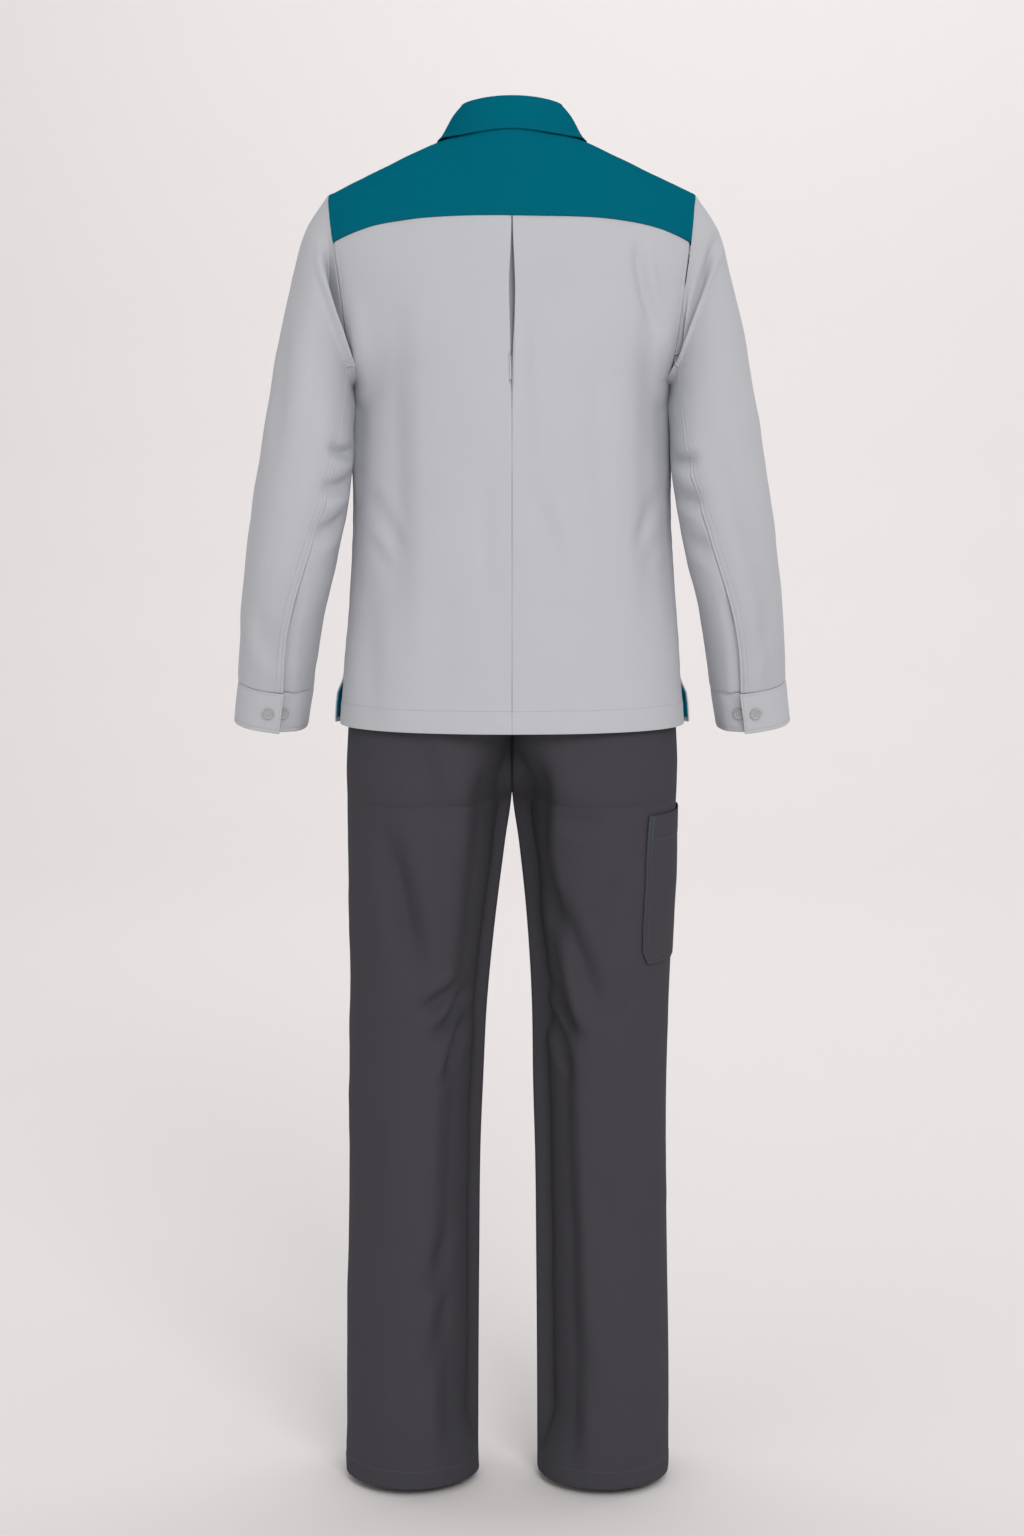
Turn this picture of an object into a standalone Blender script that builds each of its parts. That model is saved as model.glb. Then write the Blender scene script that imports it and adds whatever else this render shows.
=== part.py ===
"""Laboratory uniform: a jacket with a pleated back over straight trousers, hollow, as worn.

Metres. +Z up, the front faces -Y, the wearer's left is +X. The origin is the middle of the neck opening,
level with the neck ends of the shoulders. A "drop" is a distance below the origin.
Each piece is a wall of cloth through sections that are worked out from the sizes and short tables below.
"""
import math
from collections import namedtuple

import bmesh
import bpy
from mathutils import Matrix, Vector

# Cloth
WALL = 0.0015            # body cloth
COLLAR_WALL = 0.0018
CUFF_WALL = 0.0022
SEAM = 0.0003            # space left between two sewn pieces
SEAM_TURN = SEAM / 0.12  # half that space as an angle over the shoulder
LAYER = 0.0004           # space left between cloth layers that lie on each other

# Shoulders and armholes
SHOULDER_TIP_X = 0.2045
SHOULDER_TIP_DROP = 0.068
SHOULDER_SLOPE = math.tan(math.radians(24.8))
ARMPIT_X = 0.1765
ARMPIT_DROP = 0.275
ARMHOLE_DEPTH = 0.070    # half the front-to-back size
ARMHOLE_SQUARE = 2.4
ARMHOLE_MIDDLE = (SHOULDER_TIP_DROP + ARMPIT_DROP) / 2
ARMHOLE_HALF = (ARMPIT_DROP - SHOULDER_TIP_DROP) / 2
ARMHOLE_TILT = (SHOULDER_TIP_X - ARMPIT_X) / (ARMPIT_DROP - SHOULDER_TIP_DROP)

# Jacket body
BODY_SQUARE = 2.3
CHEST_SLANT = 1.3        # roundness of the front above the chest at the centre, 2.4 at the armholes
JACKET_DROP = 0.661
YOKE_DROP = 0.097        # yoke seam at the centre back
YOKE_SIDE_DROP = 0.026   # how much lower that seam is at the armhole
YOKE_FRONT = 0.035       # yoke seam in front of the shoulder line
PLEAT_WIDTH = 0.040      # each of the two folds of the inverted pleat
PLEAT_GAPE = 0.0038      # half the widest gape of the pleat
PLEAT_GAPE_DROP = 0.180
PLEAT_GAPE_REACH = 0.060
PLACKET = 0.015          # how far each front reaches past the centre line
VENT_DROP = 0.606
VENT_FLARE = 0.0055      # how far the front's vent edge turns out

# Collar
NECK_X = 0.072
NECK_BACK = 0.068
NECK_FRONT = 0.070
COLLAR_END = math.radians(174)
COLLAR_POINT = math.radians(150)

# Sleeves and cuffs
SLIT_STEP = 7.9          # where the opening at the cuff starts, in rows of the sleeve table
CUFF_LIFT = 0.0040       # how far the outer end stands up at its edge
CUFF_BUTTON_TURN = 17    # degrees from the outer end's edge back to its button
INNER_BUTTON_TURNS = {"left": 4, "right": 8}     # and on to the button of the end below it
BUTTON_RADIUS = 0.0065
BUTTON_THICK = 0.0022
FRONT_BUTTON_DROPS = (0.078, 0.172, 0.266, 0.360, 0.454, 0.548)

# Trousers
WAIST_DROP = 0.470
WAISTBAND = 0.038
HIP_DROP = 0.600
CROTCH_DROP = 0.745
TROUSER_DROP = 1.548
LEG_SWAY = 0.0050        # how far both legs stand off to the wearer's left, eased in between these drops
LEG_SWAY_DROPS = (0.780, 1.150)
POCKET_TOP_DROP = 0.757
POCKET_DROP = 0.930
POCKET_BACK = 0.099      # reach of the pocket's top behind the outer seam
POCKET_TAPER = 0.009     # how much less its foot reaches
POCKET_FRONT = 0.075
POCKET_CORNER = (0.010, 0.016)
POCKET_CLEAR = 0.0009    # pocket's back above the leg's sections

Body = namedtuple("Body", "drop width back front")
BODY = (
    Body(0.100, 0.2100, 0.1220, 0.1180),
    Body(0.172, 0.2000, 0.1220, 0.1180),
    Body(0.225, 0.1880, 0.1260, 0.1260),
    Body(0.275, 0.1765, 0.1280, 0.1300),
    Body(0.340, 0.1780, 0.1265, 0.1305),
    Body(0.420, 0.1795, 0.1230, 0.1290),
    Body(0.510, 0.1840, 0.1220, 0.1280),
    Body(0.600, 0.1920, 0.1240, 0.1290),
    Body(0.661, 0.1965, 0.1260, 0.1300),
)

# Sleeve sections: the point on the outer side, the point on the inner side, half the depth, the middle's y,
# how far the back of the section hangs below its middle, and how square the section is
Sleeve = namedtuple("Sleeve", "step out_x out_drop in_x in_drop depth y lean square")
SLEEVE = (
    Sleeve(0, SHOULDER_TIP_X, SHOULDER_TIP_DROP, ARMPIT_X, ARMPIT_DROP, ARMHOLE_DEPTH, 0, 0, ARMHOLE_SQUARE),
    Sleeve(1, 0.2300, 0.1060, 0.1778, 0.2840, 0.0760, 0.0030, 0.0000, 2.3),
    Sleeve(2, 0.2426, 0.1500, 0.1774, 0.2950, 0.0780, 0.0090, 0.0000, 2.2),
    Sleeve(3, 0.2542, 0.2000, 0.1774, 0.3080, 0.0770, 0.0170, 0.0000, 2.2),
    Sleeve(4, 0.2640, 0.2520, 0.1775, 0.3260, 0.0740, 0.0250, 0.0000, 2.2),
    Sleeve(5, 0.2760, 0.3200, 0.1777, 0.3640, 0.0690, 0.0310, 0.0000, 2.2),
    Sleeve(6, 0.2904, 0.4000, 0.1856, 0.4180, 0.0640, 0.0290, 0.0010, 2.1),
    Sleeve(7, 0.3008, 0.4700, 0.1996, 0.4800, 0.0600, 0.0180, 0.0030, 2.1),
    Sleeve(8, 0.3082, 0.5300, 0.2141, 0.5370, 0.0560, 0.0015, 0.0055, 2.1),
    Sleeve(9, 0.3135, 0.5860, 0.2241, 0.5900, 0.0515, -0.0165, 0.0070, 2.1),
    Sleeve(10, 0.3155, 0.6134, 0.2290, 0.6222, 0.0490, -0.0260, 0.0075, 2.1),
)
CUFF = (
    Sleeve(0, 0.3158, 0.6137, 0.2287, 0.6225, 0.0485, -0.0262, 0.0076, 2.1),
    Sleeve(1, 0.3222, 0.6606, 0.2363, 0.6680, 0.0460, -0.0350, 0.0080, 2.1),
)
# Where the back and the front seam run round the sleeve, in degrees from its outer side
SleeveSeam = namedtuple("SleeveSeam", "step back front")
SLEEVE_SEAMS = (
    SleeveSeam(0, 132, -125),
    SleeveSeam(3, 139, -125),
    SleeveSeam(5, 131, -122),
    SleeveSeam(8, 104, -118),
    SleeveSeam(10, 105, -118),
)

Leg = namedtuple("Leg", "drop outer middle inner back front square")
LEG = (
    Leg(0.432, 0.1530, 0.0000, 0.0000, 0.1020, 0.0920, 2.30),
    Leg(0.470, 0.1570, 0.0000, 0.0000, 0.1040, 0.0940, 2.30),
    Leg(0.530, 0.1680, 0.0000, 0.0000, 0.1110, 0.0990, 2.30),
    Leg(0.600, 0.1805, 0.0000, 0.0000, 0.1184, 0.1010, 2.30),
    Leg(0.650, 0.1865, 0.0300, 0.0000, 0.1180, 0.1000, 2.30),
    Leg(0.700, 0.1890, 0.0700, 0.0000, 0.1150, 0.0980, 2.25),
    Leg(0.745, 0.1885, 0.0945, 0.0004, 0.1090, 0.0960, 2.20),
    Leg(0.800, 0.1880, 0.0990, 0.0080, 0.1015, 0.0930, 2.15),
    Leg(0.890, 0.1865, 0.1034, 0.0183, 0.0920, 0.0880, 2.10),
    Leg(0.985, 0.1848, 0.1057, 0.0258, 0.0865, 0.0830, 2.10),
    Leg(1.080, 0.1845, 0.1070, 0.0290, 0.0830, 0.0800, 2.10),
    Leg(1.170, 0.1850, 0.1085, 0.0320, 0.0815, 0.0785, 2.05),
    Leg(1.300, 0.1875, 0.1105, 0.0335, 0.0805, 0.0780, 2.05),
    Leg(1.420, 0.1900, 0.1122, 0.0345, 0.0805, 0.0790, 2.05),
    Leg(1.548, 0.1905, 0.1128, 0.0350, 0.0810, 0.0800, 2.05),
)

# Folds of the cloth: a soft trough (or, where depth is negative, a ridge) between two places.
# Across is 0 at the centre line or outer seam and 1 at the panel's other edge.
Fold = namedtuple("Fold", "across drop to_across to_drop width depth")
BACK_FOLDS_LEFT = (
    Fold(0.62, 0.15, 0.58, 0.40, 0.11, 0.0030),
    Fold(0.90, 0.42, 0.62, 0.50, 0.10, 0.0025),
)
BACK_FOLDS_RIGHT = (
    Fold(0.66, 0.12, 0.74, 0.24, 0.09, 0.0030),
    Fold(0.88, 0.42, 0.60, 0.50, 0.10, 0.0025),
)
LEG_FOLDS = (
    Fold(0.72, 0.80, 0.45, 0.97, 0.14, 0.0030),
    Fold(0.45, 1.02, 0.95, 0.93, 0.10, 0.0035),
    Fold(0.50, 1.10, 0.95, 1.03, 0.10, 0.0030),
)
# On the sleeve, across is degrees round it divided by 100, and drop is the row of the sleeve table
SLEEVE_FOLDS = (
    Fold(0.95, 0.6, 1.30, 2.6, 0.22, 0.0110),
    Fold(1.25, 6.0, 1.75, 5.7, 0.28, 0.0040),
    Fold(1.25, 6.8, 1.75, 6.6, 0.28, 0.0035),
)

GREY = (0.52, 0.53, 0.56, 1.0)
TEAL = (0.0016, 0.133, 0.191, 1.0)
CHARCOAL = (0.052, 0.051, 0.060, 1.0)
BUTTON_GREY = (0.30, 0.30, 0.31, 1.0)
CLOTH_ROUGHNESS = 0.85
BUTTON_ROUGHNESS = 0.35


# ---------------------------------------------------------------- helpers

def read_table(rows, place):
    """The row of a table at a place along its first column, smooth from row to row."""
    place = min(max(place, rows[0][0]), rows[-1][0])
    last = len(rows) - 1
    low = max(index for index in range(last) if rows[index][0] <= place)

    def slope(index, column):
        before, after = rows[max(index - 1, 0)], rows[min(index + 1, last)]
        return (after[column] - before[column]) / (after[0] - before[0])

    span = rows[low + 1][0] - rows[low][0]
    t = (place - rows[low][0]) / span
    values = []
    for column in range(len(rows[0])):
        start, end = rows[low][column], rows[low + 1][column]
        rise, fall = slope(low, column) * span, slope(low + 1, column) * span
        values.append(start * (1 + 2 * t) * (1 - t) ** 2 + rise * t * (1 - t) ** 2
                      + end * t * t * (3 - 2 * t) - fall * t * t * (1 - t))
    return type(rows[0])(*values)


def mix(start, end, amount):
    return start + (end - start) * amount


def ease(amount):
    """0 before 0, 1 after 1, and smooth between."""
    amount = min(max(amount, 0.0), 1.0)
    return amount * amount * (3 - 2 * amount)


def steps(count, start=0.0, end=1.0):
    return [mix(start, end, index / (count - 1)) for index in range(count)]


def round_part(angle, square):
    """Cosine and sine of a rounded square's angle, keeping their signs."""
    power = 2 / square
    cosine, sine = math.cos(angle), math.sin(angle)
    return math.copysign(abs(cosine) ** power, cosine), math.copysign(abs(sine) ** power, sine)


def fold_depth(folds, across, drop, drop_scale=2.5):
    """Depth of the folds at a place. Drops are scaled so that a fold is as wide both ways."""
    depth = 0.0
    for fold in folds:
        start = Vector((fold.across, fold.drop * drop_scale))
        run = Vector((fold.to_across, fold.to_drop * drop_scale)) - start
        here = Vector((across, drop * drop_scale)) - start
        along = min(max(here.dot(run) / run.length_squared, 0.0), 1.0)
        away = (here - run * along).length / fold.width
        depth += fold.depth * math.exp(-away * away)
    return depth


def cloth_material(name, colour, roughness=CLOTH_ROUGHNESS):
    material = bpy.data.materials.new(name)
    material.use_nodes = True
    shader = material.node_tree.nodes["Principled BSDF"]
    shader.inputs["Base Color"].default_value = colour
    shader.inputs["Roughness"].default_value = roughness
    shader.inputs["Metallic"].default_value = 0.0
    material.diffuse_color = colour
    return material


def add_object(name, bm, material):
    mesh = bpy.data.meshes.new(name)
    bmesh.ops.recalc_face_normals(bm, faces=bm.faces)
    bm.to_mesh(mesh)
    bm.free()
    mesh.materials.append(material)
    mesh.shade_smooth()
    mesh.set_sharp_from_angle(angle=math.radians(40))
    piece = bpy.data.objects.new(name, mesh)
    bpy.context.scene.collection.objects.link(piece)
    return piece


def cloth(name, outer, inner, material):
    """A wall between two sheets of points, each a list of equal rows: a grid, extruded and then shaped."""
    rows, columns = len(outer) - 1, len(outer[0]) - 1
    bm = bmesh.new()
    bmesh.ops.create_grid(bm, x_segments=columns, y_segments=rows, size=1.0)
    extruded = bmesh.ops.extrude_face_region(bm, geom=bm.faces[:])["geom"]
    raised = {item for item in extruded if isinstance(item, bmesh.types.BMVert)}
    for vert in bm.verts:
        column = round((vert.co.x + 1) / 2 * columns)
        row = round((vert.co.y + 1) / 2 * rows)
        vert.co = (outer if vert in raised else inner)[row][column]
    return add_object(name, bm, material)


def direction_at(points, index):
    """Direction of a line of points at one of them, from the parabola through it and its neighbours."""
    start = min(max(index - 1, 0), len(points) - 3)
    first, second, third = points[start:start + 3]
    near, far = (second - first).length, (third - second).length
    early, late = (second - first) / near, (third - second) / far
    if index == start:
        return early + (early - late) * near / (near + far)
    if index == start + 2:
        return late + (late - early) * far / (near + far)
    return (early * far + late * near) / (near + far)


def grid_normals(grid, outward):
    """Directions square to a sheet of points, on the side that outward points to at the sheet's middle."""
    columns = list(zip(*grid))
    normals = [[direction_at(row, across).cross(direction_at(columns[across], along)).normalized()
                for across in range(len(row))] for along, row in enumerate(grid)]
    if normals[len(grid) // 2][len(columns) // 2].dot(Vector(outward)) < 0:
        normals = [[-normal for normal in row] for row in normals]
    return normals


def moved(grid, normals, depth):
    """The sheet's points moved inwards, by one depth or by a depth for each column."""
    depths = depth if isinstance(depth, list) else [depth] * len(grid[0])
    return [[point - normal * amount for point, normal, amount in zip(points, directions, depths)]
            for points, directions in zip(grid, normals)]


def mirrored(grid, hand):
    """The sheet's points, on the wearer's left for a hand of 1 and on the right for -1."""
    return [[Vector((point.x * hand, point.y, point.z)) for point in row] for row in grid]


# ---------------------------------------------------------------- jacket body

def armhole_x(z):
    return ARMPIT_X + ARMHOLE_TILT * (z + ARMPIT_DROP)


def armhole_y(z):
    away = min(abs(z + ARMHOLE_MIDDLE) / ARMHOLE_HALF, 1.0)
    return ARMHOLE_DEPTH * (1 - away ** ARMHOLE_SQUARE) ** (1 / ARMHOLE_SQUARE)


def in_armhole_plane(normal, hand=1):
    """The direction turned into the armhole's plane, so that the sewn ends face each other squarely."""
    facing = Vector((hand, 0, -ARMHOLE_TILT)).normalized()
    return (normal - facing * normal.dot(facing)).normalized()


def level(normal):
    return Vector((normal.x, normal.y, 0)).normalized()


def in_side_plane(normal):
    return Vector((normal.x, 0, normal.z)).normalized()


def body_section(side, z):
    """Depth, reach and edge angle of the body's section. Side is 1 at the back and -1 at the front."""
    row = read_table(BODY, -z)
    depth = row.back if side > 0 else row.front
    if z > -ARMPIT_DROP:
        edge_x, edge_y = armhole_x(z) - SEAM / 2, max(armhole_y(z), SEAM / 2)
    else:
        edge_x, edge_y = row.width, SEAM / 2
    edge_angle = math.asin((edge_y / depth) ** (BODY_SQUARE / 2))
    reach = edge_x / math.cos(edge_angle) ** (2 / BODY_SQUARE)
    return depth, reach, edge_angle


def section_share(side, x, z):
    """Where a point of the section is, as a share of the way from the centre line to the panel's edge."""
    depth, reach, edge_angle = body_section(side, min(z, -ARMHOLE_MIDDLE))
    if z > -ARMHOLE_MIDDLE:
        x = x * armhole_x(-ARMHOLE_MIDDLE) / armhole_x(z)
    angle = math.acos(min(abs(x) / reach, 1.0) ** (BODY_SQUARE / 2))
    return (math.pi / 2 - angle) / (math.pi / 2 - edge_angle)


def shoulder_shape(side, share):
    """Half-width share, depth at the armhole's middle, ridge height above it, and roundness, at a share."""
    depth, reach, edge_angle = body_section(side, -ARMHOLE_MIDDLE)
    cosine, sine = round_part(mix(math.pi / 2, edge_angle, share), BODY_SQUARE)
    width_share = reach * cosine / (armhole_x(-ARMHOLE_MIDDLE) - SEAM / 2)
    ridge_x = SHOULDER_TIP_X * width_share
    if side > 0:
        near = min(ridge_x / NECK_X, 1.0)
        ridge_x *= near * (2 - near)    # the ridge is rounded across the back of the neck
    height = ARMHOLE_MIDDLE - SHOULDER_TIP_DROP + SHOULDER_SLOPE * (SHOULDER_TIP_X - ridge_x)
    roundness = ARMHOLE_SQUARE
    if side < 0:
        roundness = mix(CHEST_SLANT, ARMHOLE_SQUARE, width_share ** 1.5)
    return width_share, depth * sine, height, roundness


def shoulder_point(share, turn):
    """A point above the armholes' middle. Turn is 0 on the shoulder line, 90 degrees at the back's foot
    and -90 degrees at the front's."""
    side = 1 if turn >= 0 else -1
    width_share, depth, height, roundness = shoulder_shape(side, abs(share))
    cosine, sine = round_part(turn, roundness)
    z = height * cosine - ARMHOLE_MIDDLE
    x = (armhole_x(z) - SEAM / 2) * width_share
    return Vector((math.copysign(x, share), depth * sine, z))


def shoulder_turn(side, share, z):
    _, _, height, roundness = shoulder_shape(side, share)
    up = min(max((z + ARMHOLE_MIDDLE) / height, 0.0), 1.0)
    return side * math.acos(up ** (roundness / 2))


def body_point(side, share, z):
    """A point of the body at a height, on the back or the front."""
    if z > -ARMHOLE_MIDDLE:
        return shoulder_point(share, shoulder_turn(side, abs(share), z))
    depth, reach, edge_angle = body_section(side, z)
    cosine, sine = round_part(mix(math.pi / 2, edge_angle, abs(share)), BODY_SQUARE)
    return Vector((math.copysign(reach * cosine, share), side * depth * sine, z))


def shoulder_place(x, y):
    """Share and turn of the shoulder's surface over a point in plan."""
    side = 1 if y >= 0 else -1
    z = 0.0
    for _ in range(6):
        share = section_share(side, x, z)
        _, depth, height, roundness = shoulder_shape(side, share)
        turn = math.asin(min(abs(y) / depth, 1.0) ** (roundness / 2))
        z = height * round_part(turn, roundness)[0] - ARMHOLE_MIDDLE
    return share, side * turn


def shoulder_height(x, y):
    share, turn = shoulder_place(x, y)
    return shoulder_point(share, turn).z


def yoke_seam_z(share):
    return -YOKE_DROP - YOKE_SIDE_DROP * shoulder_shape(1, share)[0] ** 3.6


def neck_plan(angle):
    """The neck seam in plan, from the centre back (0) round to the centre front (180 degrees)."""
    depth = NECK_BACK if math.cos(angle) > 0 else NECK_FRONT
    return NECK_X * math.sin(angle), depth * math.cos(angle)


def neck_outward(angle):
    x, y = neck_plan(angle)
    depth = NECK_BACK if y > 0 else NECK_FRONT
    return Vector((x / NECK_X ** 2, y / depth ** 2, 0)).normalized()


YOKE_NECK_END = math.acos(-YOKE_FRONT / NECK_FRONT)


def front_seam(amount):
    """Share and turn along the yoke's front seam, from the neck to the armhole."""
    share, turn = shoulder_place(*neck_plan(YOKE_NECK_END))
    edge_turn = -math.asin((YOKE_FRONT / ARMHOLE_DEPTH) ** (ARMHOLE_SQUARE / 2))
    return mix(share, 1.0, amount), mix(turn, edge_turn, amount)


BACK_AMOUNTS = (0.0, 0.09, 0.20, 0.33, 0.47, 0.62, 0.80, 1.0)


def yoke_seam_shares():
    """Shares of the columns that meet at the yoke's back seam, from the centre out to the armhole."""
    pleat = section_share(1, PLEAT_WIDTH, -YOKE_DROP)
    return [0.0, pleat / 2] + [mix(1.0, pleat, amount) for amount in reversed(BACK_AMOUNTS)]


def add_yoke(material):
    """One piece over both shoulders: columns run from the neck out to the back seam and the armholes."""
    back_part = 0.66         # share of the neck seam whose columns end on the back seam
    edge_back = shoulder_turn(1, 1.0, yoke_seam_z(1.0) + SEAM / 2)
    edge_front = front_seam(1.0)[1] + SEAM_TURN

    def place(half, outward):
        neck = shoulder_place(*neck_plan(half * (YOKE_NECK_END - SEAM_TURN)))
        if half <= back_part:
            share = half / back_part
            edge = share, shoulder_turn(1, share, yoke_seam_z(share) + SEAM / 2)
        else:
            edge = 1.0, mix(edge_back, edge_front, (half - back_part) / (1 - back_part))
        return shoulder_point(mix(neck[0], edge[0], outward), mix(neck[1], edge[1], outward))

    halves = [share * back_part for share in yoke_seam_shares()] + steps(6, back_part, 1.0)[1:]
    left = [[place(half, outward) for half in halves] for outward in steps(6)]
    grid = [right[:0:-1] + row for right, row in zip(mirrored(left, -1), left)]
    normals = grid_normals(grid, (0, 0, 1))
    middle = len(halves) - 1
    for column, half in enumerate(halves):
        for hand in (-1, 1):
            normal = normals[-1][middle + hand * column]
            if half <= back_part:
                normal = level(normal)
            if half >= back_part:
                normal = in_armhole_plane(normal, hand)
            normals[-1][middle + hand * column] = normal
    return cloth("yoke", grid, moved(grid, normals, WALL), material)


BACK_DROPS = (0.142, 0.172, 0.215, 0.245, 0.265, 0.275, 0.290, 0.33, 0.39, 0.45, 0.51, 0.57, 0.615,
              JACKET_DROP)


def pleat_gape(z):
    """Half the opening of the pleat, seen from behind."""
    away = (z + PLEAT_GAPE_DROP) / PLEAT_GAPE_REACH
    return SEAM / 2 + PLEAT_GAPE * math.exp(-away * away)


def pleat_columns(hand, z):
    """Outer and inner points where the pleat's cloth turns, from the visible fold in to the hidden one."""
    fold = 2 * WALL + LAYER

    def sunk(x, depth):
        point = body_point(1, section_share(1, x, z), z)
        return Vector((hand * point.x, point.y - depth, point.z))

    gape = pleat_gape(z)
    return [
        (sunk(gape, 0), sunk(gape + WALL, WALL)),
        (sunk(gape, fold), sunk(gape + WALL, WALL + LAYER)),
        (sunk(PLEAT_WIDTH - WALL, fold), sunk(PLEAT_WIDTH, WALL + LAYER)),
        (sunk(PLEAT_WIDTH - WALL, fold + LAYER), sunk(PLEAT_WIDTH, fold + LAYER + WALL)),
        (sunk(0, fold + LAYER), sunk(0, fold + LAYER + WALL)),
    ]


def back_half(hand):
    """Rows of outer and inner points from the side edge in to the centre line."""
    folds = BACK_FOLDS_LEFT if hand > 0 else BACK_FOLDS_RIGHT

    def height(row, share):
        return yoke_seam_z(share) - SEAM / 2 if row == 0 else -BACK_DROPS[row - 1]

    def place(row, amount):
        drop = YOKE_DROP if row == 0 else BACK_DROPS[row - 1]
        share = mix(1.0, section_share(1, PLEAT_WIDTH, -drop), amount)
        point = body_point(1, share, height(row, share))
        point.y -= fold_depth(folds, share, drop) * (1 - share ** 6) * ease((drop - YOKE_DROP) / 0.05)
        return point

    rows = range(len(BACK_DROPS) + 1)
    grid = [[place(row, amount) for amount in BACK_AMOUNTS] for row in rows]
    normals = grid_normals(grid, (0, 1, 0))
    normals[0] = [level(normal) for normal in normals[0]]
    for row in rows:
        in_seam = in_armhole_plane if grid[row][0].z > -ARMPIT_DROP + SEAM else in_side_plane
        normals[row][0] = in_seam(normals[row][0])
    panel = zip(mirrored(grid, hand), mirrored(moved(grid, normals, WALL), hand))
    return [list(zip(outer, inner)) + pleat_columns(hand, height(row, 0.0))
            for row, (outer, inner) in enumerate(panel)]


def add_back(material):
    """The back, edge to edge, with both folds of the inverted pleat turned in at the centre."""
    rows = [left + right[-2::-1] for left, right in zip(back_half(1), back_half(-1))]
    outer, inner = ([[pair[face] for pair in row] for row in rows] for face in (0, 1))
    return cloth("back_panel", outer, inner, material)


VENT_DROPS = (0.610, 0.625, 0.641, 0.656)
FRONT_DROPS = ((0.215, 0.245, 0.265, 0.275, 0.290, 0.33, 0.40, 0.47, 0.54, 0.595) + VENT_DROPS
               + (JACKET_DROP,))
FRONT_LAP = (-PLACKET, 0.0, PLACKET + 0.002, PLACKET + 0.014, PLACKET + 0.030)
FRONT_EDGE = (0.951, 0.980, 1.0)
FRONT_SHOULDER_ROWS = 4


def front_top_turn(share):
    """Turn of the front's top edge: the neckline near the centre, then the yoke's front seam."""
    seam_share, seam_start = front_seam(0.0)
    if share >= seam_share:
        return front_seam((share - seam_share) / (1 - seam_share))[1] - 2 * SEAM_TURN
    across = shoulder_shape(-1, share)[0] / shoulder_shape(-1, seam_share)[0]
    x = NECK_X * math.sin(YOKE_NECK_END) * across
    y = -NECK_FRONT * math.sqrt(1 - (x / NECK_X) ** 2)
    return min(shoulder_place(x, y)[1], seam_start) - 2 * SEAM_TURN


def front_shares(z):
    """Signed shares of the front's columns at a height: the lapped edge, then the rest out to the side."""
    lap = [math.copysign(section_share(-1, x, z), x) for x in FRONT_LAP]
    return lap + steps(5, lap[-1], FRONT_EDGE[0])[1:-1] + list(FRONT_EDGE)


def front_grid():
    """The left front's outer sheet."""
    grid = []
    for row in range(FRONT_SHOULDER_ROWS):
        amount = row / FRONT_SHOULDER_ROWS
        grid.append([shoulder_point(share, mix(front_top_turn(abs(share)), -math.pi / 2, amount))
                     for share in front_shares(-ARMHOLE_MIDDLE)])
    for drop in (ARMHOLE_MIDDLE,) + FRONT_DROPS:
        grid.append([body_point(-1, share, -drop) for share in front_shares(-drop)])
        grid[-1][-1].x += VENT_FLARE * ease((drop - VENT_DROP) / 0.025)
        grid[-1][-2].x += 0.3 * VENT_FLARE * ease((drop - VENT_DROP) / 0.025)
    return grid


def front_normals(grid):
    normals = grid_normals(grid, (0, -1, 0))
    for points, directions in zip(grid, normals):
        in_seam = in_armhole_plane if points[-1].z > -ARMPIT_DROP + SEAM else in_side_plane
        directions[-1] = in_seam(directions[-1])
    return normals


def add_front(hand, material):
    """A front. The left one lies over the right one, which sinks by a layer under it."""
    grid = front_grid()
    normals = front_normals(grid)
    under = WALL + 2 * LAYER if hand < 0 else 0.0
    sinks = [under if column < 3 else 0.0 for column in range(len(grid[0]))]
    outer = moved(grid, normals, sinks)
    inner = moved(grid, normals, [sink + WALL for sink in sinks])
    name = "front_left" if hand > 0 else "front_right"
    return cloth(name, mirrored(outer, hand), mirrored(inner, hand), material)


def add_vent_facing(hand, material):
    """The strip lining the front's turned-out edge at the side vent, made from the front's points."""
    grid = front_grid()
    normals = front_normals(grid)
    rows = slice(len(grid) - len(VENT_DROPS) - 1, len(grid) - 1)
    edge = slice(-len(FRONT_EDGE), None)
    grid, normals = ([row[edge] for row in sheet[rows]] for sheet in (grid, normals))
    outer = moved(grid, normals, WALL + LAYER)
    inner = moved(grid, normals, 2 * WALL + LAYER)
    name = "vent_facing_left" if hand > 0 else "vent_facing_right"
    return cloth(name, mirrored(outer, hand), mirrored(inner, hand), material)


# ---------------------------------------------------------------- collar

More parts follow.
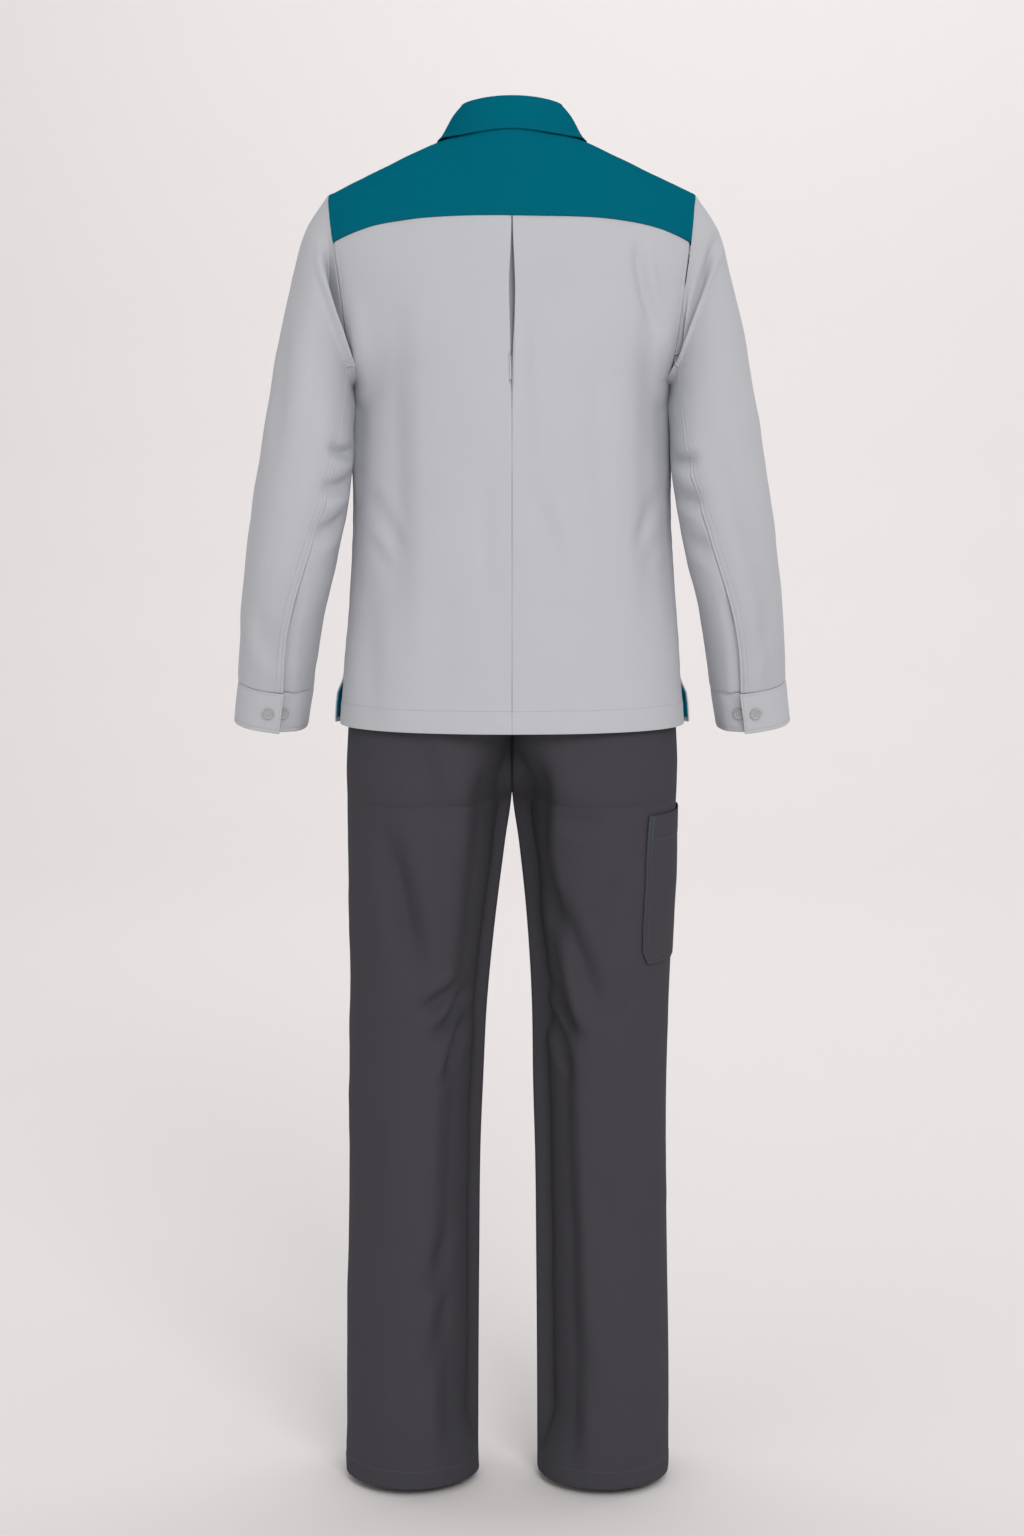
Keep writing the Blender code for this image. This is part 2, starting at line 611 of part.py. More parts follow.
def add_collar(material):
    """Stand and leaf in one piece: up from the neck seam, over the fold and down to the leaf's edge."""
    roll = 0.0016            # radius of the fold, at the cloth's middle
    stand_in = 0.0013        # the stand's middle lies this far inside the neck seam
    fold_x, fold_back, fold_front = 0.0545, 0.0560, 0.0580
    clear = 0.0026           # leaf's middle above the cloth it lies on

    def fold_z(angle):
        back = max(math.cos(angle), 0.0)
        front = max(-math.cos(angle), 0.0)
        return mix(mix(0.0310, 0.0360, back ** 2), -0.0240, front ** 1.5)

    def leaf_reach(angle):
        front = ease((abs(angle) - math.pi / 2) / (COLLAR_END - math.pi / 2))
        return mix(0.0080, 0.0340, front)

    def path(angle):
        hand = math.copysign(1, angle)
        x, y = neck_plan(abs(angle))
        outward = neck_outward(abs(angle))
        foot = Vector((x, y, shoulder_height(x, y) + 2 * SEAM)) - outward * stand_in
        depth = fold_back if y > 0 else fold_front
        fold = Vector((fold_x * math.sin(abs(angle)), depth * math.cos(angle), fold_z(angle)))
        centre = fold - Vector((0, 0, roll + COLLAR_WALL / 2))
        edge_angle = abs(angle) * COLLAR_POINT / COLLAR_END
        edge_x, edge_y = neck_plan(edge_angle)
        edge = Vector((edge_x, edge_y, 0)) + neck_outward(edge_angle) * leaf_reach(angle)
        edge.z = shoulder_height(edge.x, edge.y) + clear
        stand_top = centre - outward * roll
        points = [foot, foot.lerp(stand_top, 0.5), stand_top]
        for turn in (math.pi / 4, math.pi / 2, 3 * math.pi / 4):
            points.append(centre - outward * roll * math.cos(turn) + Vector((0, 0, roll * math.sin(turn))))
        leaf_top = centre + outward * roll
        for amount in (0.0, 0.3, 0.55, 0.8, 1.0):
            point = leaf_top.lerp(edge, amount) + outward * 0.004 * math.sin(math.pi * amount) * (1 - amount)
            if amount > 0:
                point.z = max(point.z, shoulder_height(point.x, point.y) + clear)
            points.append(point)
        outward = Vector((outward.x * hand, outward.y, 0))
        return [Vector((point.x * hand, point.y, point.z)) for point in points], outward

    outer, inner = [], []
    for angle in steps(21, -COLLAR_END, COLLAR_END):
        points, outward = path(angle if angle else 1e-9)
        faces = []
        for index, point in enumerate(points):
            run = points[min(index + 1, len(points) - 1)] - points[max(index - 1, 0)]
            along, up = run.dot(outward), run.z
            normal = (Vector((0, 0, along)) - outward * up).normalized()
            faces.append((point + normal * COLLAR_WALL / 2, point - normal * COLLAR_WALL / 2))
        outer.append([face[0] for face in faces])
        inner.append([face[1] for face in faces])
    return cloth("collar", outer, inner, material)


# ---------------------------------------------------------------- sleeves and cuffs

def ring_point(row, degrees):
    """A point of a sleeve's or cuff's section. 0 is the outer side and 90 degrees the back."""
    cosine, sine = round_part(math.radians(degrees), row.square)
    middle = Vector(((row.out_x + row.in_x) / 2, row.y, -(row.out_drop + row.in_drop) / 2))
    half = Vector(((row.out_x - row.in_x) / 2, 0, -(row.out_drop - row.in_drop) / 2))
    return middle + half * cosine + Vector((0, row.depth, -row.lean)) * sine


def sleeve_point(step, degrees):
    point = ring_point(read_table(SLEEVE, step), degrees)
    middle = ring_point(read_table(SLEEVE, step), 0).lerp(ring_point(read_table(SLEEVE, step), 180), 0.5)
    depth = fold_depth(SLEEVE_FOLDS, degrees / 100, step, 0.25) * ease(step / 0.5) * ease((10 - step) / 1.5)
    point += (middle - point).normalized() * depth
    if step == 0:
        point.x += SEAM / 2
    return point


SLEEVE_STEPS = (0, 0.4, 0.9, 1.5, 2.2, 3, 4, 5, 6, 7, 8, 9, 10)


def sleeve_facing(step, degrees):
    """Outward direction of the sleeve's surface."""
    round_it = sleeve_point(step, degrees + 3) - sleeve_point(step, degrees - 3)
    down = sleeve_point(step + 0.2, degrees) - sleeve_point(max(step - 0.2, 0), degrees)
    return down.cross(round_it).normalized()


def sleeve_half(hand, name, degrees_at, sinks_at, material):
    """One piece of a sleeve, its columns at the degrees that degrees_at(step) lists."""
    outer, inner = [], []
    for step in SLEEVE_STEPS:
        points = [sleeve_point(step, degrees) for degrees in degrees_at(step)]
        normals = [sleeve_facing(step, degrees) for degrees in degrees_at(step)]
        if step == 0:
            normals = [in_armhole_plane(normal) for normal in normals]
        sinks = sinks_at(step)
        outer += moved([points], [normals], sinks)
        inner += moved([points], [normals], [sink + WALL for sink in sinks])
    side = "left" if hand > 0 else "right"
    return cloth(name + side, mirrored(outer, hand), mirrored(inner, hand), material)


def add_sleeve(hand, material):
    """Upper and under sleeve. Below the slit the upper one's edge laps over the under one's."""
    gap = 0.28               # half the seam's space, in degrees round the sleeve
    lap = 9.0                # degrees by which the edges overlap along the slit

    def upper_degrees(step):
        seam = read_table(SLEEVE_SEAMS, step)
        return steps(12, seam.front + gap, seam.back - lap) + [seam.back - gap]

    def under_degrees(step):
        seam = read_table(SLEEVE_SEAMS, step)
        start = seam.back + gap - lap * ease((step - SLIT_STEP) / 0.9)
        turned = seam.back + gap + 3.0
        return [start, turned] + steps(6, turned, 360 + seam.front - gap)[1:]

    def under_sinks(step):
        sink = (WALL + LAYER) * ease((step - SLIT_STEP + 0.6) / 0.6)
        return [sink, sink, 0.35 * sink, 0, 0, 0, 0]

    return [
        sleeve_half(hand, "sleeve_upper_", upper_degrees, lambda step: [0.0] * 13, material),
        sleeve_half(hand, "sleeve_under_", under_degrees, under_sinks, material),
    ]


CUFF_EDGE = 105.0            # degrees round the sleeve to the cuff's outer end


def cuff_lift(turn):
    """How far the outer end stands off at some degrees back from its edge."""
    return CUFF_LIFT * (1 - min(turn, 30) / 30) ** 2


def cuff_columns():
    """Degrees of the cuff's columns, and how far each is sunk, from the outer end round to the inner one."""
    lap_degrees = 46.0
    lifted = (0, 6, 12, 20, 30)
    columns = [(CUFF_EDGE - turn, -cuff_lift(turn)) for turn in lifted]
    columns += [(CUFF_EDGE - turn, 0.0) for turn in steps(12, 30, 322)[1:]]
    sunk = CUFF_WALL + LAYER
    columns += [(CUFF_EDGE - 335, 0.35 * sunk), (CUFF_EDGE - 348, sunk), (CUFF_EDGE - 354, sunk)]
    columns += [(CUFF_EDGE - 360 - turn, sunk) for turn in steps(6, 0, lap_degrees)]
    return columns


def add_cuff(hand, material):
    """A band once round the wrist, its outer end lying over its inner end at the back."""
    columns = cuff_columns()
    rows = [read_table(CUFF, step) for step in (0, 0.5, 1)]
    grid = [[ring_point(row, degrees) for degrees, _ in columns] for row in rows]
    normals = grid_normals(grid, (-1, 0, 0))
    sinks = [sink for _, sink in columns]
    outer = moved(grid, normals, sinks)
    inner = moved(grid, normals, [sink + CUFF_WALL for sink in sinks])
    name = "cuff_left" if hand > 0 else "cuff_right"
    return cloth(name, mirrored(outer, hand), mirrored(inner, hand), material)


def cuff_place(degrees, sink):
    """A point half-way down the cuff, and the direction that faces away from the wrist there."""
    row = read_table(CUFF, 0.52)
    point = ring_point(row, degrees)
    along = ring_point(row, degrees + 1) - ring_point(row, degrees - 1)
    down = ring_point(read_table(CUFF, 0.6), degrees) - ring_point(read_table(CUFF, 0.4), degrees)
    normal = along.cross(down).normalized()
    if normal.y < 0:
        normal = -normal
    return point - normal * sink, normal


# ---------------------------------------------------------------- trousers

LEG_ARC_POINTS = 24


def leg_outline(side, z):
    """Points of a leg's section in plan, from the outer seam to the inner seam or the centre seam."""
    row = read_table(LEG, -z)
    depth = (row.back if side > 0 else row.front) - SEAM / 2
    middle = max(row.middle, 0.0) if -z > HIP_DROP else 0.0
    points = []
    for angle in steps(LEG_ARC_POINTS, 0, math.pi / 2):
        cosine, sine = round_part(angle, row.square)
        points.append((middle + (row.outer - middle) * cosine, SEAM / 2 + depth * sine))
    if middle > 0:
        fullness = 0.0
        if -z < CROTCH_DROP:
            fullness = (1 - ((-z - HIP_DROP) / (CROTCH_DROP - HIP_DROP)) ** 3) ** 0.6
            width = middle / (1 - fullness ** row.square) ** (1 / row.square)
        else:
            width = middle - row.inner
        last_angle = math.asin(min(fullness, 1.0) ** (row.square / 2))
        for angle in steps(LEG_ARC_POINTS, math.pi / 2, last_angle)[1:]:
            cosine, sine = round_part(angle, row.square)
            points.append((middle - width * cosine, SEAM / 2 + depth * sine))
    return [Vector((max(x, SEAM / 2), y * side, z)) for x, y in points]


def leg_point(side, distance, z, as_share=False):
    """A point of the leg at a distance round from the outer seam, or at a share of the whole way."""
    outline = leg_outline(side, z)
    lengths = [(after - before).length for before, after in zip(outline, outline[1:])]
    left = distance * sum(lengths) if as_share else distance
    for start, end, length in zip(outline, outline[1:], lengths):
        if left <= length:
            return start.lerp(end, left / length)
        left -= length
    return outline[-1]


TROUSER_DROPS = (WAIST_DROP, 0.535, 0.60, 0.65, 0.695, 0.725, CROTCH_DROP, 0.78, 0.85, 0.93, 1.01, 1.09, 1.18,
                 1.30, 1.42, TROUSER_DROP)


def swayed(grid):
    """The legs' points moved out of line with the jacket, by more lower down."""
    start, end = LEG_SWAY_DROPS
    return [[point + Vector((LEG_SWAY * ease((-point.z - start) / (end - start)), 0, 0)) for point in row]
            for row in grid]


def leg_panel_point(side, share, z):
    point = leg_point(side, share, z, as_share=True)
    centre = Vector((read_table(LEG, -z).middle, 0, z))
    depth = fold_depth(LEG_FOLDS, share, -z) * (1 - (2 * share - 1) ** 6) if side > 0 else 0.0
    return point + (centre - point).normalized() * depth


def add_leg(hand, side, material):
    """Half a leg of the trousers, from the outer seam to the seams at the middle."""
    grid = [[leg_panel_point(side, share, -drop) for share in steps(8)] for drop in TROUSER_DROPS]
    normals = grid_normals(grid, (0.5, side, 0))
    name = ("leg_back_" if side > 0 else "leg_front_") + ("left" if hand > 0 else "right")
    outer, inner = mirrored(grid, hand), mirrored(moved(grid, normals, WALL), hand)
    return cloth(name, swayed(outer), swayed(inner), material)


def add_waistband(material):
    """An elastic band sewn to the trousers' top edge, one closed ring."""
    outline = []
    for side in (1, -1):
        half = [leg_point(side, share, -WAIST_DROP, as_share=True) for share in steps(10)]
        right = [Vector((-point.x, point.y, 0)) for point in half]
        outline.append([Vector((point.x, point.y, 0)) for point in half[:-1]] + right[::-1])
    ring = outline[0] + outline[1][::-1][1:-1]
    bm = bmesh.new()
    verts = []
    for index, point in enumerate(ring):
        before, after = ring[index - 1], ring[(index + 1) % len(ring)]
        run = (after - before).normalized()
        normal = Vector((run.y, -run.x, 0))
        if normal.dot(point) < 0:
            normal = -normal
        inside = point - normal * (WALL + 0.0006)
        verts.append([bm.verts.new((place.x, place.y, height)) for place in (point, inside)
                      for height in (-WAIST_DROP + SEAM, -WAIST_DROP + WAISTBAND)])
    for corners, following in zip(verts, verts[1:] + verts[:1]):
        for first, second in ((0, 1), (1, 3), (3, 2), (2, 0)):
            bm.faces.new((corners[first], corners[second], following[second], following[first]))
    return add_object("waistband", bm, material)


def add_pocket(material):
    """A patch pocket round the outer seam of the right leg."""
    corner_width, corner_height = POCKET_CORNER
    reaches = [-POCKET_FRONT, -POCKET_FRONT + corner_width] + \
        steps(9, -POCKET_FRONT + corner_width, POCKET_BACK - corner_width)[1:-1] + \
        [POCKET_BACK - corner_width, POCKET_BACK]
    grid = []
    for amount in steps(6):
        grid.append([])
        for reach in reaches:
            bottom = POCKET_DROP - (corner_height if reach in (reaches[0], reaches[-1]) else 0)
            z = -mix(POCKET_TOP_DROP, bottom, amount)
            side = 1 if reach >= 0 else -1
            tapered = abs(reach) * (1 - POCKET_TAPER / POCKET_BACK * amount)
            share = tapered / sum((after - before).length for before, after in
                                     zip(leg_outline(side, z), leg_outline(side, z)[1:]))
            grid[-1].append(leg_panel_point(side, share, z))
    normals = grid_normals(grid, (1, 0, 0))
    outer = moved(grid, normals, -WALL - POCKET_CLEAR)
    inner = moved(grid, normals, -POCKET_CLEAR)
    return cloth("leg_pocket", swayed(mirrored(outer, -1)), swayed(mirrored(inner, -1)), material)


# ---------------------------------------------------------------- buttons

def add_button(name, place, facing, material):
    """A round button with a dished face, its back on the cloth at a place."""
    sides = 12
    bm = bmesh.new()
    profile = ((0.0, 0.0), (1.0, 0.25), (0.92, 1.0), (0.70, 0.8), (0.0, 0.8))
    edges = []
    points = [bm.verts.new((BUTTON_RADIUS * across, 0, BUTTON_THICK * up)) for across, up in profile]
    for before, after in zip(points, points[1:]):
        edges.append(bm.edges.new((before, after)))
    bmesh.ops.spin(bm, geom=points + edges, cent=(0, 0, 0), axis=(0, 0, 1), dvec=(0, 0, 0),
                   angle=2 * math.pi, steps=sides, use_merge=True, use_duplicate=False)
    bmesh.ops.remove_doubles(bm, verts=bm.verts, dist=1e-6)
    button = add_object(name, bm, material)
    button.matrix_world = Matrix.Translation(place) @ facing.to_track_quat("Z", "Y").to_matrix().to_4x4()
    return button


def add_buttons(material):
    for number, drop in enumerate(FRONT_BUTTON_DROPS, start=1):
        if drop < ARMHOLE_MIDDLE:
            place = shoulder_point(1e-6, shoulder_turn(-1, 0.0, -drop))
            lower = shoulder_point(1e-6, shoulder_turn(-1, 0.0, -drop - 0.004))
        else:
            place, lower = body_point(-1, 1e-6, -drop), body_point(-1, 1e-6, -drop - 0.004)
        slope = (lower - place).normalized()
        facing = Vector((0, slope.z, -slope.y))
        add_button(f"front_button_{number}", place + facing * LAYER, facing, material)
    for hand, side in ((1, "left"), (-1, "right")):
        for number, turn in enumerate((CUFF_BUTTON_TURN, -INNER_BUTTON_TURNS[side]), start=1):
            sink = -cuff_lift(turn) if number == 1 else CUFF_WALL + LAYER
            place, facing = cuff_place(CUFF_EDGE - turn, sink)
            place, facing = (Vector((v.x * hand, v.y, v.z)) for v in (place, facing))
            add_button(f"cuff_button_{side}_{number}", place + facing * LAYER, facing, material)


# ---------------------------------------------------------------- the uniform

def main():
    for old in list(bpy.data.objects):
        bpy.data.objects.remove(old, do_unlink=True)
    grey = cloth_material("grey_twill", GREY)
    teal = cloth_material("teal_twill", TEAL)
    charcoal = cloth_material("charcoal_twill", CHARCOAL)
    button = cloth_material("grey_button", BUTTON_GREY, BUTTON_ROUGHNESS)
    add_yoke(teal)
    add_collar(teal)
    add_back(grey)
    for hand in (1, -1):
        add_front(hand, grey)
        add_vent_facing(hand, teal)
        add_sleeve(hand, grey)
        add_cuff(hand, grey)
        for side in (1, -1):
            add_leg(hand, side, charcoal)
    add_waistband(charcoal)
    add_pocket(charcoal)
    add_buttons(button)


main()
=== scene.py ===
"""Laboratory uniform: the visible cloth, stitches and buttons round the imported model.

Metres. +Z up, the front faces -Y, the wearer's left is +X. The origin is the middle of the neck opening.
A "drop" is a distance below it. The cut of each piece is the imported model's: the tables repeat its sizes.
"""

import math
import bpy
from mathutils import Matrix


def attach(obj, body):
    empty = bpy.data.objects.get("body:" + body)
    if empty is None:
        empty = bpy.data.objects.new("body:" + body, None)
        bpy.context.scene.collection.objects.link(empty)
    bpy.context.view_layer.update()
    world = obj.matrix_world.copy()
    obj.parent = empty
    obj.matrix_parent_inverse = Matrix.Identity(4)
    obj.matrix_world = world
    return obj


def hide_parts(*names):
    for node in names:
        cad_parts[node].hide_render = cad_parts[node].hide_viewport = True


bl_info = {
    "name": "Laboratory Uniform",
    "version": (1, 0, 0),
    "blender": (4, 5, 0),
    "location": "View3D > Sidebar > Uniform",
    "description": "A cut-and-sewn work jacket and trousers in their worn shape",
    "category": "Object",
}

from collections import namedtuple

import bmesh
import bpy
import numpy as np
from bpy.props import FloatProperty, FloatVectorProperty, PointerProperty
from mathutils import Matrix, Vector, noise
from mathutils.bvhtree import BVHTree

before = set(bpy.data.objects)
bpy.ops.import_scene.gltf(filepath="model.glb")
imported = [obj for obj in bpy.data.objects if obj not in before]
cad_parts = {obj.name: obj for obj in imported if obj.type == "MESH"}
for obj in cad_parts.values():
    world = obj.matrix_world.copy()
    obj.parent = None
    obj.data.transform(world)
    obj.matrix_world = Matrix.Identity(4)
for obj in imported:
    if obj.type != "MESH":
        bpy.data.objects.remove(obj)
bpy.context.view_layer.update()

# Cloth
WALL = 0.0015
COLLAR_WALL = 0.0018
CUFF_WALL = 0.0022
SEAM = 0.0003            # space left between two sewn pieces
SEAM_TURN = SEAM / 0.12  # half that space as an angle over the shoulder
LAYER = 0.0004           # space left between cloth layers that lie on each other

# Shoulders and armholes
SHOULDER_TIP_X = 0.2045
SHOULDER_TIP_DROP = 0.068
SHOULDER_SLOPE = math.tan(math.radians(24.8))
ARMPIT_X = 0.1765
ARMPIT_DROP = 0.275
ARMHOLE_DEPTH = 0.070
ARMHOLE_SQUARE = 2.4
ARMHOLE_MIDDLE = (SHOULDER_TIP_DROP + ARMPIT_DROP) / 2
ARMHOLE_HALF = (ARMPIT_DROP - SHOULDER_TIP_DROP) / 2
ARMHOLE_TILT = (SHOULDER_TIP_X - ARMPIT_X) / (ARMPIT_DROP - SHOULDER_TIP_DROP)

# Jacket body
BODY_SQUARE = 2.3
CHEST_SLANT = 1.3
JACKET_DROP = 0.661
YOKE_DROP = 0.097
YOKE_SIDE_DROP = 0.026
YOKE_FRONT = 0.035
PLEAT_WIDTH = 0.040
PLEAT_GAPE = 0.0038
PLEAT_GAPE_DROP = 0.180
PLEAT_GAPE_REACH = 0.060
PLACKET = 0.015
VENT_DROP = 0.606
VENT_FLARE = 0.0055
VENT_GAPE = 1.35         # how much wider than the sewn flare the worn vent stands open
FACING_DROPS = (0.610, 0.656)
FACING_COLUMNS = 11      # how many columns of the front, counted from its side edge, carry the vent's facing

# Collar
NECK_X = 0.072
NECK_BACK = 0.068
NECK_FRONT = 0.070
COLLAR_END = math.radians(174)
COLLAR_POINT = math.radians(150)

# Sleeves and cuffs
SLIT_STEP = 7.9
CUFF_EDGE = 105.0        # degrees round the sleeve to the cuff's outer end
CUFF_LIFT = 0.0040
BUTTON_RADIUS = 0.0065
BUTTON_THICK = 0.0022
FRONT_BUTTON_DROPS = (0.078, 0.172, 0.266, 0.360, 0.454, 0.548)

# Trousers
WAIST_DROP = 0.470
WAISTBAND = 0.038
HIP_DROP = 0.600
CROTCH_DROP = 0.745
TROUSER_DROP = 1.548
LEG_SWAY = 0.0050        # how far both legs stand off to the wearer's left, eased in between these drops
LEG_SWAY_DROPS = (0.780, 1.150)
POCKET_TOP_DROP = 0.757
POCKET_DROP = 0.930
POCKET_BACK = 0.099
POCKET_TAPER = 0.009
POCKET_FRONT = 0.075
POCKET_CORNER = (0.010, 0.016)
POCKET_CLEAR = 0.0009

Body = namedtuple("Body", "drop width back front")
BODY = (
    Body(0.100, 0.2100, 0.1220, 0.1180),
    Body(0.172, 0.2000, 0.1220, 0.1180),
    Body(0.225, 0.1880, 0.1260, 0.1260),
    Body(0.275, 0.1765, 0.1280, 0.1300),
    Body(0.340, 0.1780, 0.1265, 0.1305),
    Body(0.420, 0.1795, 0.1230, 0.1290),
    Body(0.510, 0.1840, 0.1220, 0.1280),
    Body(0.600, 0.1920, 0.1240, 0.1290),
    Body(0.661, 0.1965, 0.1260, 0.1300),
)

# Sleeve sections: the point on the outer side, the point on the inner side, half the depth, the middle's y,
# how far the back of the section hangs below its middle, and how square the section is
Sleeve = namedtuple("Sleeve", "step out_x out_drop in_x in_drop depth y lean square")
SLEEVE = (
    Sleeve(0, SHOULDER_TIP_X, SHOULDER_TIP_DROP, ARMPIT_X, ARMPIT_DROP, ARMHOLE_DEPTH, 0, 0, ARMHOLE_SQUARE),
    Sleeve(1, 0.2300, 0.1060, 0.1778, 0.2840, 0.0760, 0.0030, 0.0000, 2.3),
    Sleeve(2, 0.2426, 0.1500, 0.1774, 0.2950, 0.0780, 0.0090, 0.0000, 2.2),
    Sleeve(3, 0.2542, 0.2000, 0.1774, 0.3080, 0.0770, 0.0170, 0.0000, 2.2),
    Sleeve(4, 0.2640, 0.2520, 0.1775, 0.3260, 0.0740, 0.0250, 0.0000, 2.2),
    Sleeve(5, 0.2760, 0.3200, 0.1777, 0.3640, 0.0690, 0.0310, 0.0000, 2.2),
    Sleeve(6, 0.2904, 0.4000, 0.1856, 0.4180, 0.0640, 0.0290, 0.0010, 2.1),
    Sleeve(7, 0.3008, 0.4700, 0.1996, 0.4800, 0.0600, 0.0180, 0.0030, 2.1),
    Sleeve(8, 0.3082, 0.5300, 0.2141, 0.5370, 0.0560, 0.0015, 0.0055, 2.1),
    Sleeve(9, 0.3135, 0.5860, 0.2241, 0.5900, 0.0515, -0.0165, 0.0070, 2.1),
    Sleeve(10, 0.3155, 0.6134, 0.2290, 0.6222, 0.0490, -0.0260, 0.0075, 2.1),
)
CUFF = (
    Sleeve(0, 0.3158, 0.6137, 0.2287, 0.6225, 0.0485, -0.0262, 0.0076, 2.1),
    Sleeve(1, 0.3222, 0.6606, 0.2363, 0.6680, 0.0460, -0.0350, 0.0080, 2.1),
)
# Where the back and the front seam run round the sleeve, in degrees from its outer side
SleeveSeam = namedtuple("SleeveSeam", "step back front")
SLEEVE_SEAMS = (
    SleeveSeam(0, 132, -125),
    SleeveSeam(3, 139, -125),
    SleeveSeam(5, 131, -122),
    SleeveSeam(8, 104, -118),
    SleeveSeam(10, 105, -118),
)

Leg = namedtuple("Leg", "drop outer middle inner back front square")
LEG = (
    Leg(0.432, 0.1530, 0.0000, 0.0000, 0.1020, 0.0920, 2.30),
    Leg(0.470, 0.1570, 0.0000, 0.0000, 0.1040, 0.0940, 2.30),
    Leg(0.530, 0.1680, 0.0000, 0.0000, 0.1110, 0.0990, 2.30),
    Leg(0.600, 0.1805, 0.0000, 0.0000, 0.1184, 0.1010, 2.30),
    Leg(0.650, 0.1865, 0.0300, 0.0000, 0.1180, 0.1000, 2.30),
    Leg(0.700, 0.1890, 0.0700, 0.0000, 0.1150, 0.0980, 2.25),
    Leg(0.745, 0.1885, 0.0945, 0.0004, 0.1090, 0.0960, 2.20),
    Leg(0.800, 0.1880, 0.0990, 0.0080, 0.1015, 0.0930, 2.15),
    Leg(0.890, 0.1865, 0.1034, 0.0183, 0.0920, 0.0880, 2.10),
    Leg(0.985, 0.1848, 0.1057, 0.0258, 0.0865, 0.0830, 2.10),
    Leg(1.080, 0.1845, 0.1070, 0.0290, 0.0830, 0.0800, 2.10),
    Leg(1.170, 0.1850, 0.1085, 0.0320, 0.0815, 0.0785, 2.05),
    Leg(1.300, 0.1875, 0.1105, 0.0335, 0.0805, 0.0780, 2.05),
    Leg(1.420, 0.1900, 0.1122, 0.0345, 0.0805, 0.0790, 2.05),
    Leg(1.548, 0.1905, 0.1128, 0.0350, 0.0810, 0.0800, 2.05),
)


# ---------------------------------------------------------------- sizes and tables

def mix(start, end, amount):
    """The value that lies this share of the way from start to end."""
    return start + (end - start) * amount


def ease(amount):
    """0 before 0, 1 after 1, and smooth between."""
    amount = min(max(amount, 0.0), 1.0)
    return amount * amount * (3 - 2 * amount)


def steps(count, start=0.0, end=1.0):
    """This many evenly spaced values from start to end."""
    return [mix(start, end, index / (count - 1)) for index in range(count)]


def read_table(rows, place):
    """The row of a table at a place along its first column, smooth from row to row."""
    place = min(max(place, rows[0][0]), rows[-1][0])
    last = len(rows) - 1
    low = max(index for index in range(last) if rows[index][0] <= place)

    def slope(index, column):
        before, after = rows[max(index - 1, 0)], rows[min(index + 1, last)]
        return (after[column] - before[column]) / (after[0] - before[0])

    span = rows[low + 1][0] - rows[low][0]
    t = (place - rows[low][0]) / span
    values = []
    for column in range(len(rows[0])):
        start, end = rows[low][column], rows[low + 1][column]
        rise, fall = slope(low, column) * span, slope(low + 1, column) * span
        values.append(start * (1 + 2 * t) * (1 - t) ** 2 + rise * t * (1 - t) ** 2
                      + end * t * t * (3 - 2 * t) - fall * t * t * (1 - t))
    return type(rows[0])(*values)


def round_part(angle, square):
    """Cosine and sine of a rounded square's angle, keeping their signs."""
    power = 2 / square
    cosine, sine = math.cos(angle), math.sin(angle)
    return math.copysign(abs(cosine) ** power, cosine), math.copysign(abs(sine) ** power, sine)


def spaced(length, step, start=(), end=()):
    """Places along a length, closer together at the given distances from its start and its end."""
    first, last = [0.0] + list(start), [length - near for near in reversed(end)] + [length]
    count = max(2, round((last[0] - first[-1]) / step))
    return first + steps(count + 1, first[-1], last[0])[1:-1] + last


# ---------------------------------------------------------------- the jacket's form

def armhole_x(z):
    """How far out the tilted armhole lies at a height."""
    return ARMPIT_X + ARMHOLE_TILT * (z + ARMPIT_DROP)


def armhole_y(z):
    """How far the armhole reaches forward and back at a height."""
    away = min(abs(z + ARMHOLE_MIDDLE) / ARMHOLE_HALF, 1.0)
    return ARMHOLE_DEPTH * (1 - away ** ARMHOLE_SQUARE) ** (1 / ARMHOLE_SQUARE)


def body_section(side, z):
    """Depth, reach and edge angle of the body's section. Side is 1 at the back and -1 at the front."""
    row = read_table(BODY, -z)
    depth = row.back if side > 0 else row.front
    if z > -ARMPIT_DROP:
        edge_x, edge_y = armhole_x(z) - SEAM / 2, max(armhole_y(z), SEAM / 2)
    else:
        edge_x, edge_y = row.width, SEAM / 2
    edge_angle = math.asin((edge_y / depth) ** (BODY_SQUARE / 2))
    reach = edge_x / math.cos(edge_angle) ** (2 / BODY_SQUARE)
    return depth, reach, edge_angle


def section_share(side, x, z):
    """Where a point of the section is, as a share of the way from the centre line to the panel's edge."""
    _, reach, edge_angle = body_section(side, min(z, -ARMHOLE_MIDDLE))
    if z > -ARMHOLE_MIDDLE:
        x = x * armhole_x(-ARMHOLE_MIDDLE) / armhole_x(z)
    angle = math.acos(min(abs(x) / reach, 1.0) ** (BODY_SQUARE / 2))
    return (math.pi / 2 - angle) / (math.pi / 2 - edge_angle)


def shoulder_shape(side, share):
    """Half-width share, depth at the armhole's middle, ridge height above it, and roundness, at a share."""
    depth, reach, edge_angle = body_section(side, -ARMHOLE_MIDDLE)
    cosine, sine = round_part(mix(math.pi / 2, edge_angle, share), BODY_SQUARE)
    width_share = reach * cosine / (armhole_x(-ARMHOLE_MIDDLE) - SEAM / 2)
    ridge_x = SHOULDER_TIP_X * width_share
    if side > 0:
        near = min(ridge_x / NECK_X, 1.0)
        ridge_x *= near * (2 - near)    # the ridge is rounded across the back of the neck
    height = ARMHOLE_MIDDLE - SHOULDER_TIP_DROP + SHOULDER_SLOPE * (SHOULDER_TIP_X - ridge_x)
    roundness = ARMHOLE_SQUARE
    if side < 0:
        roundness = mix(CHEST_SLANT, ARMHOLE_SQUARE, width_share ** 1.5)
    return width_share, depth * sine, height, roundness


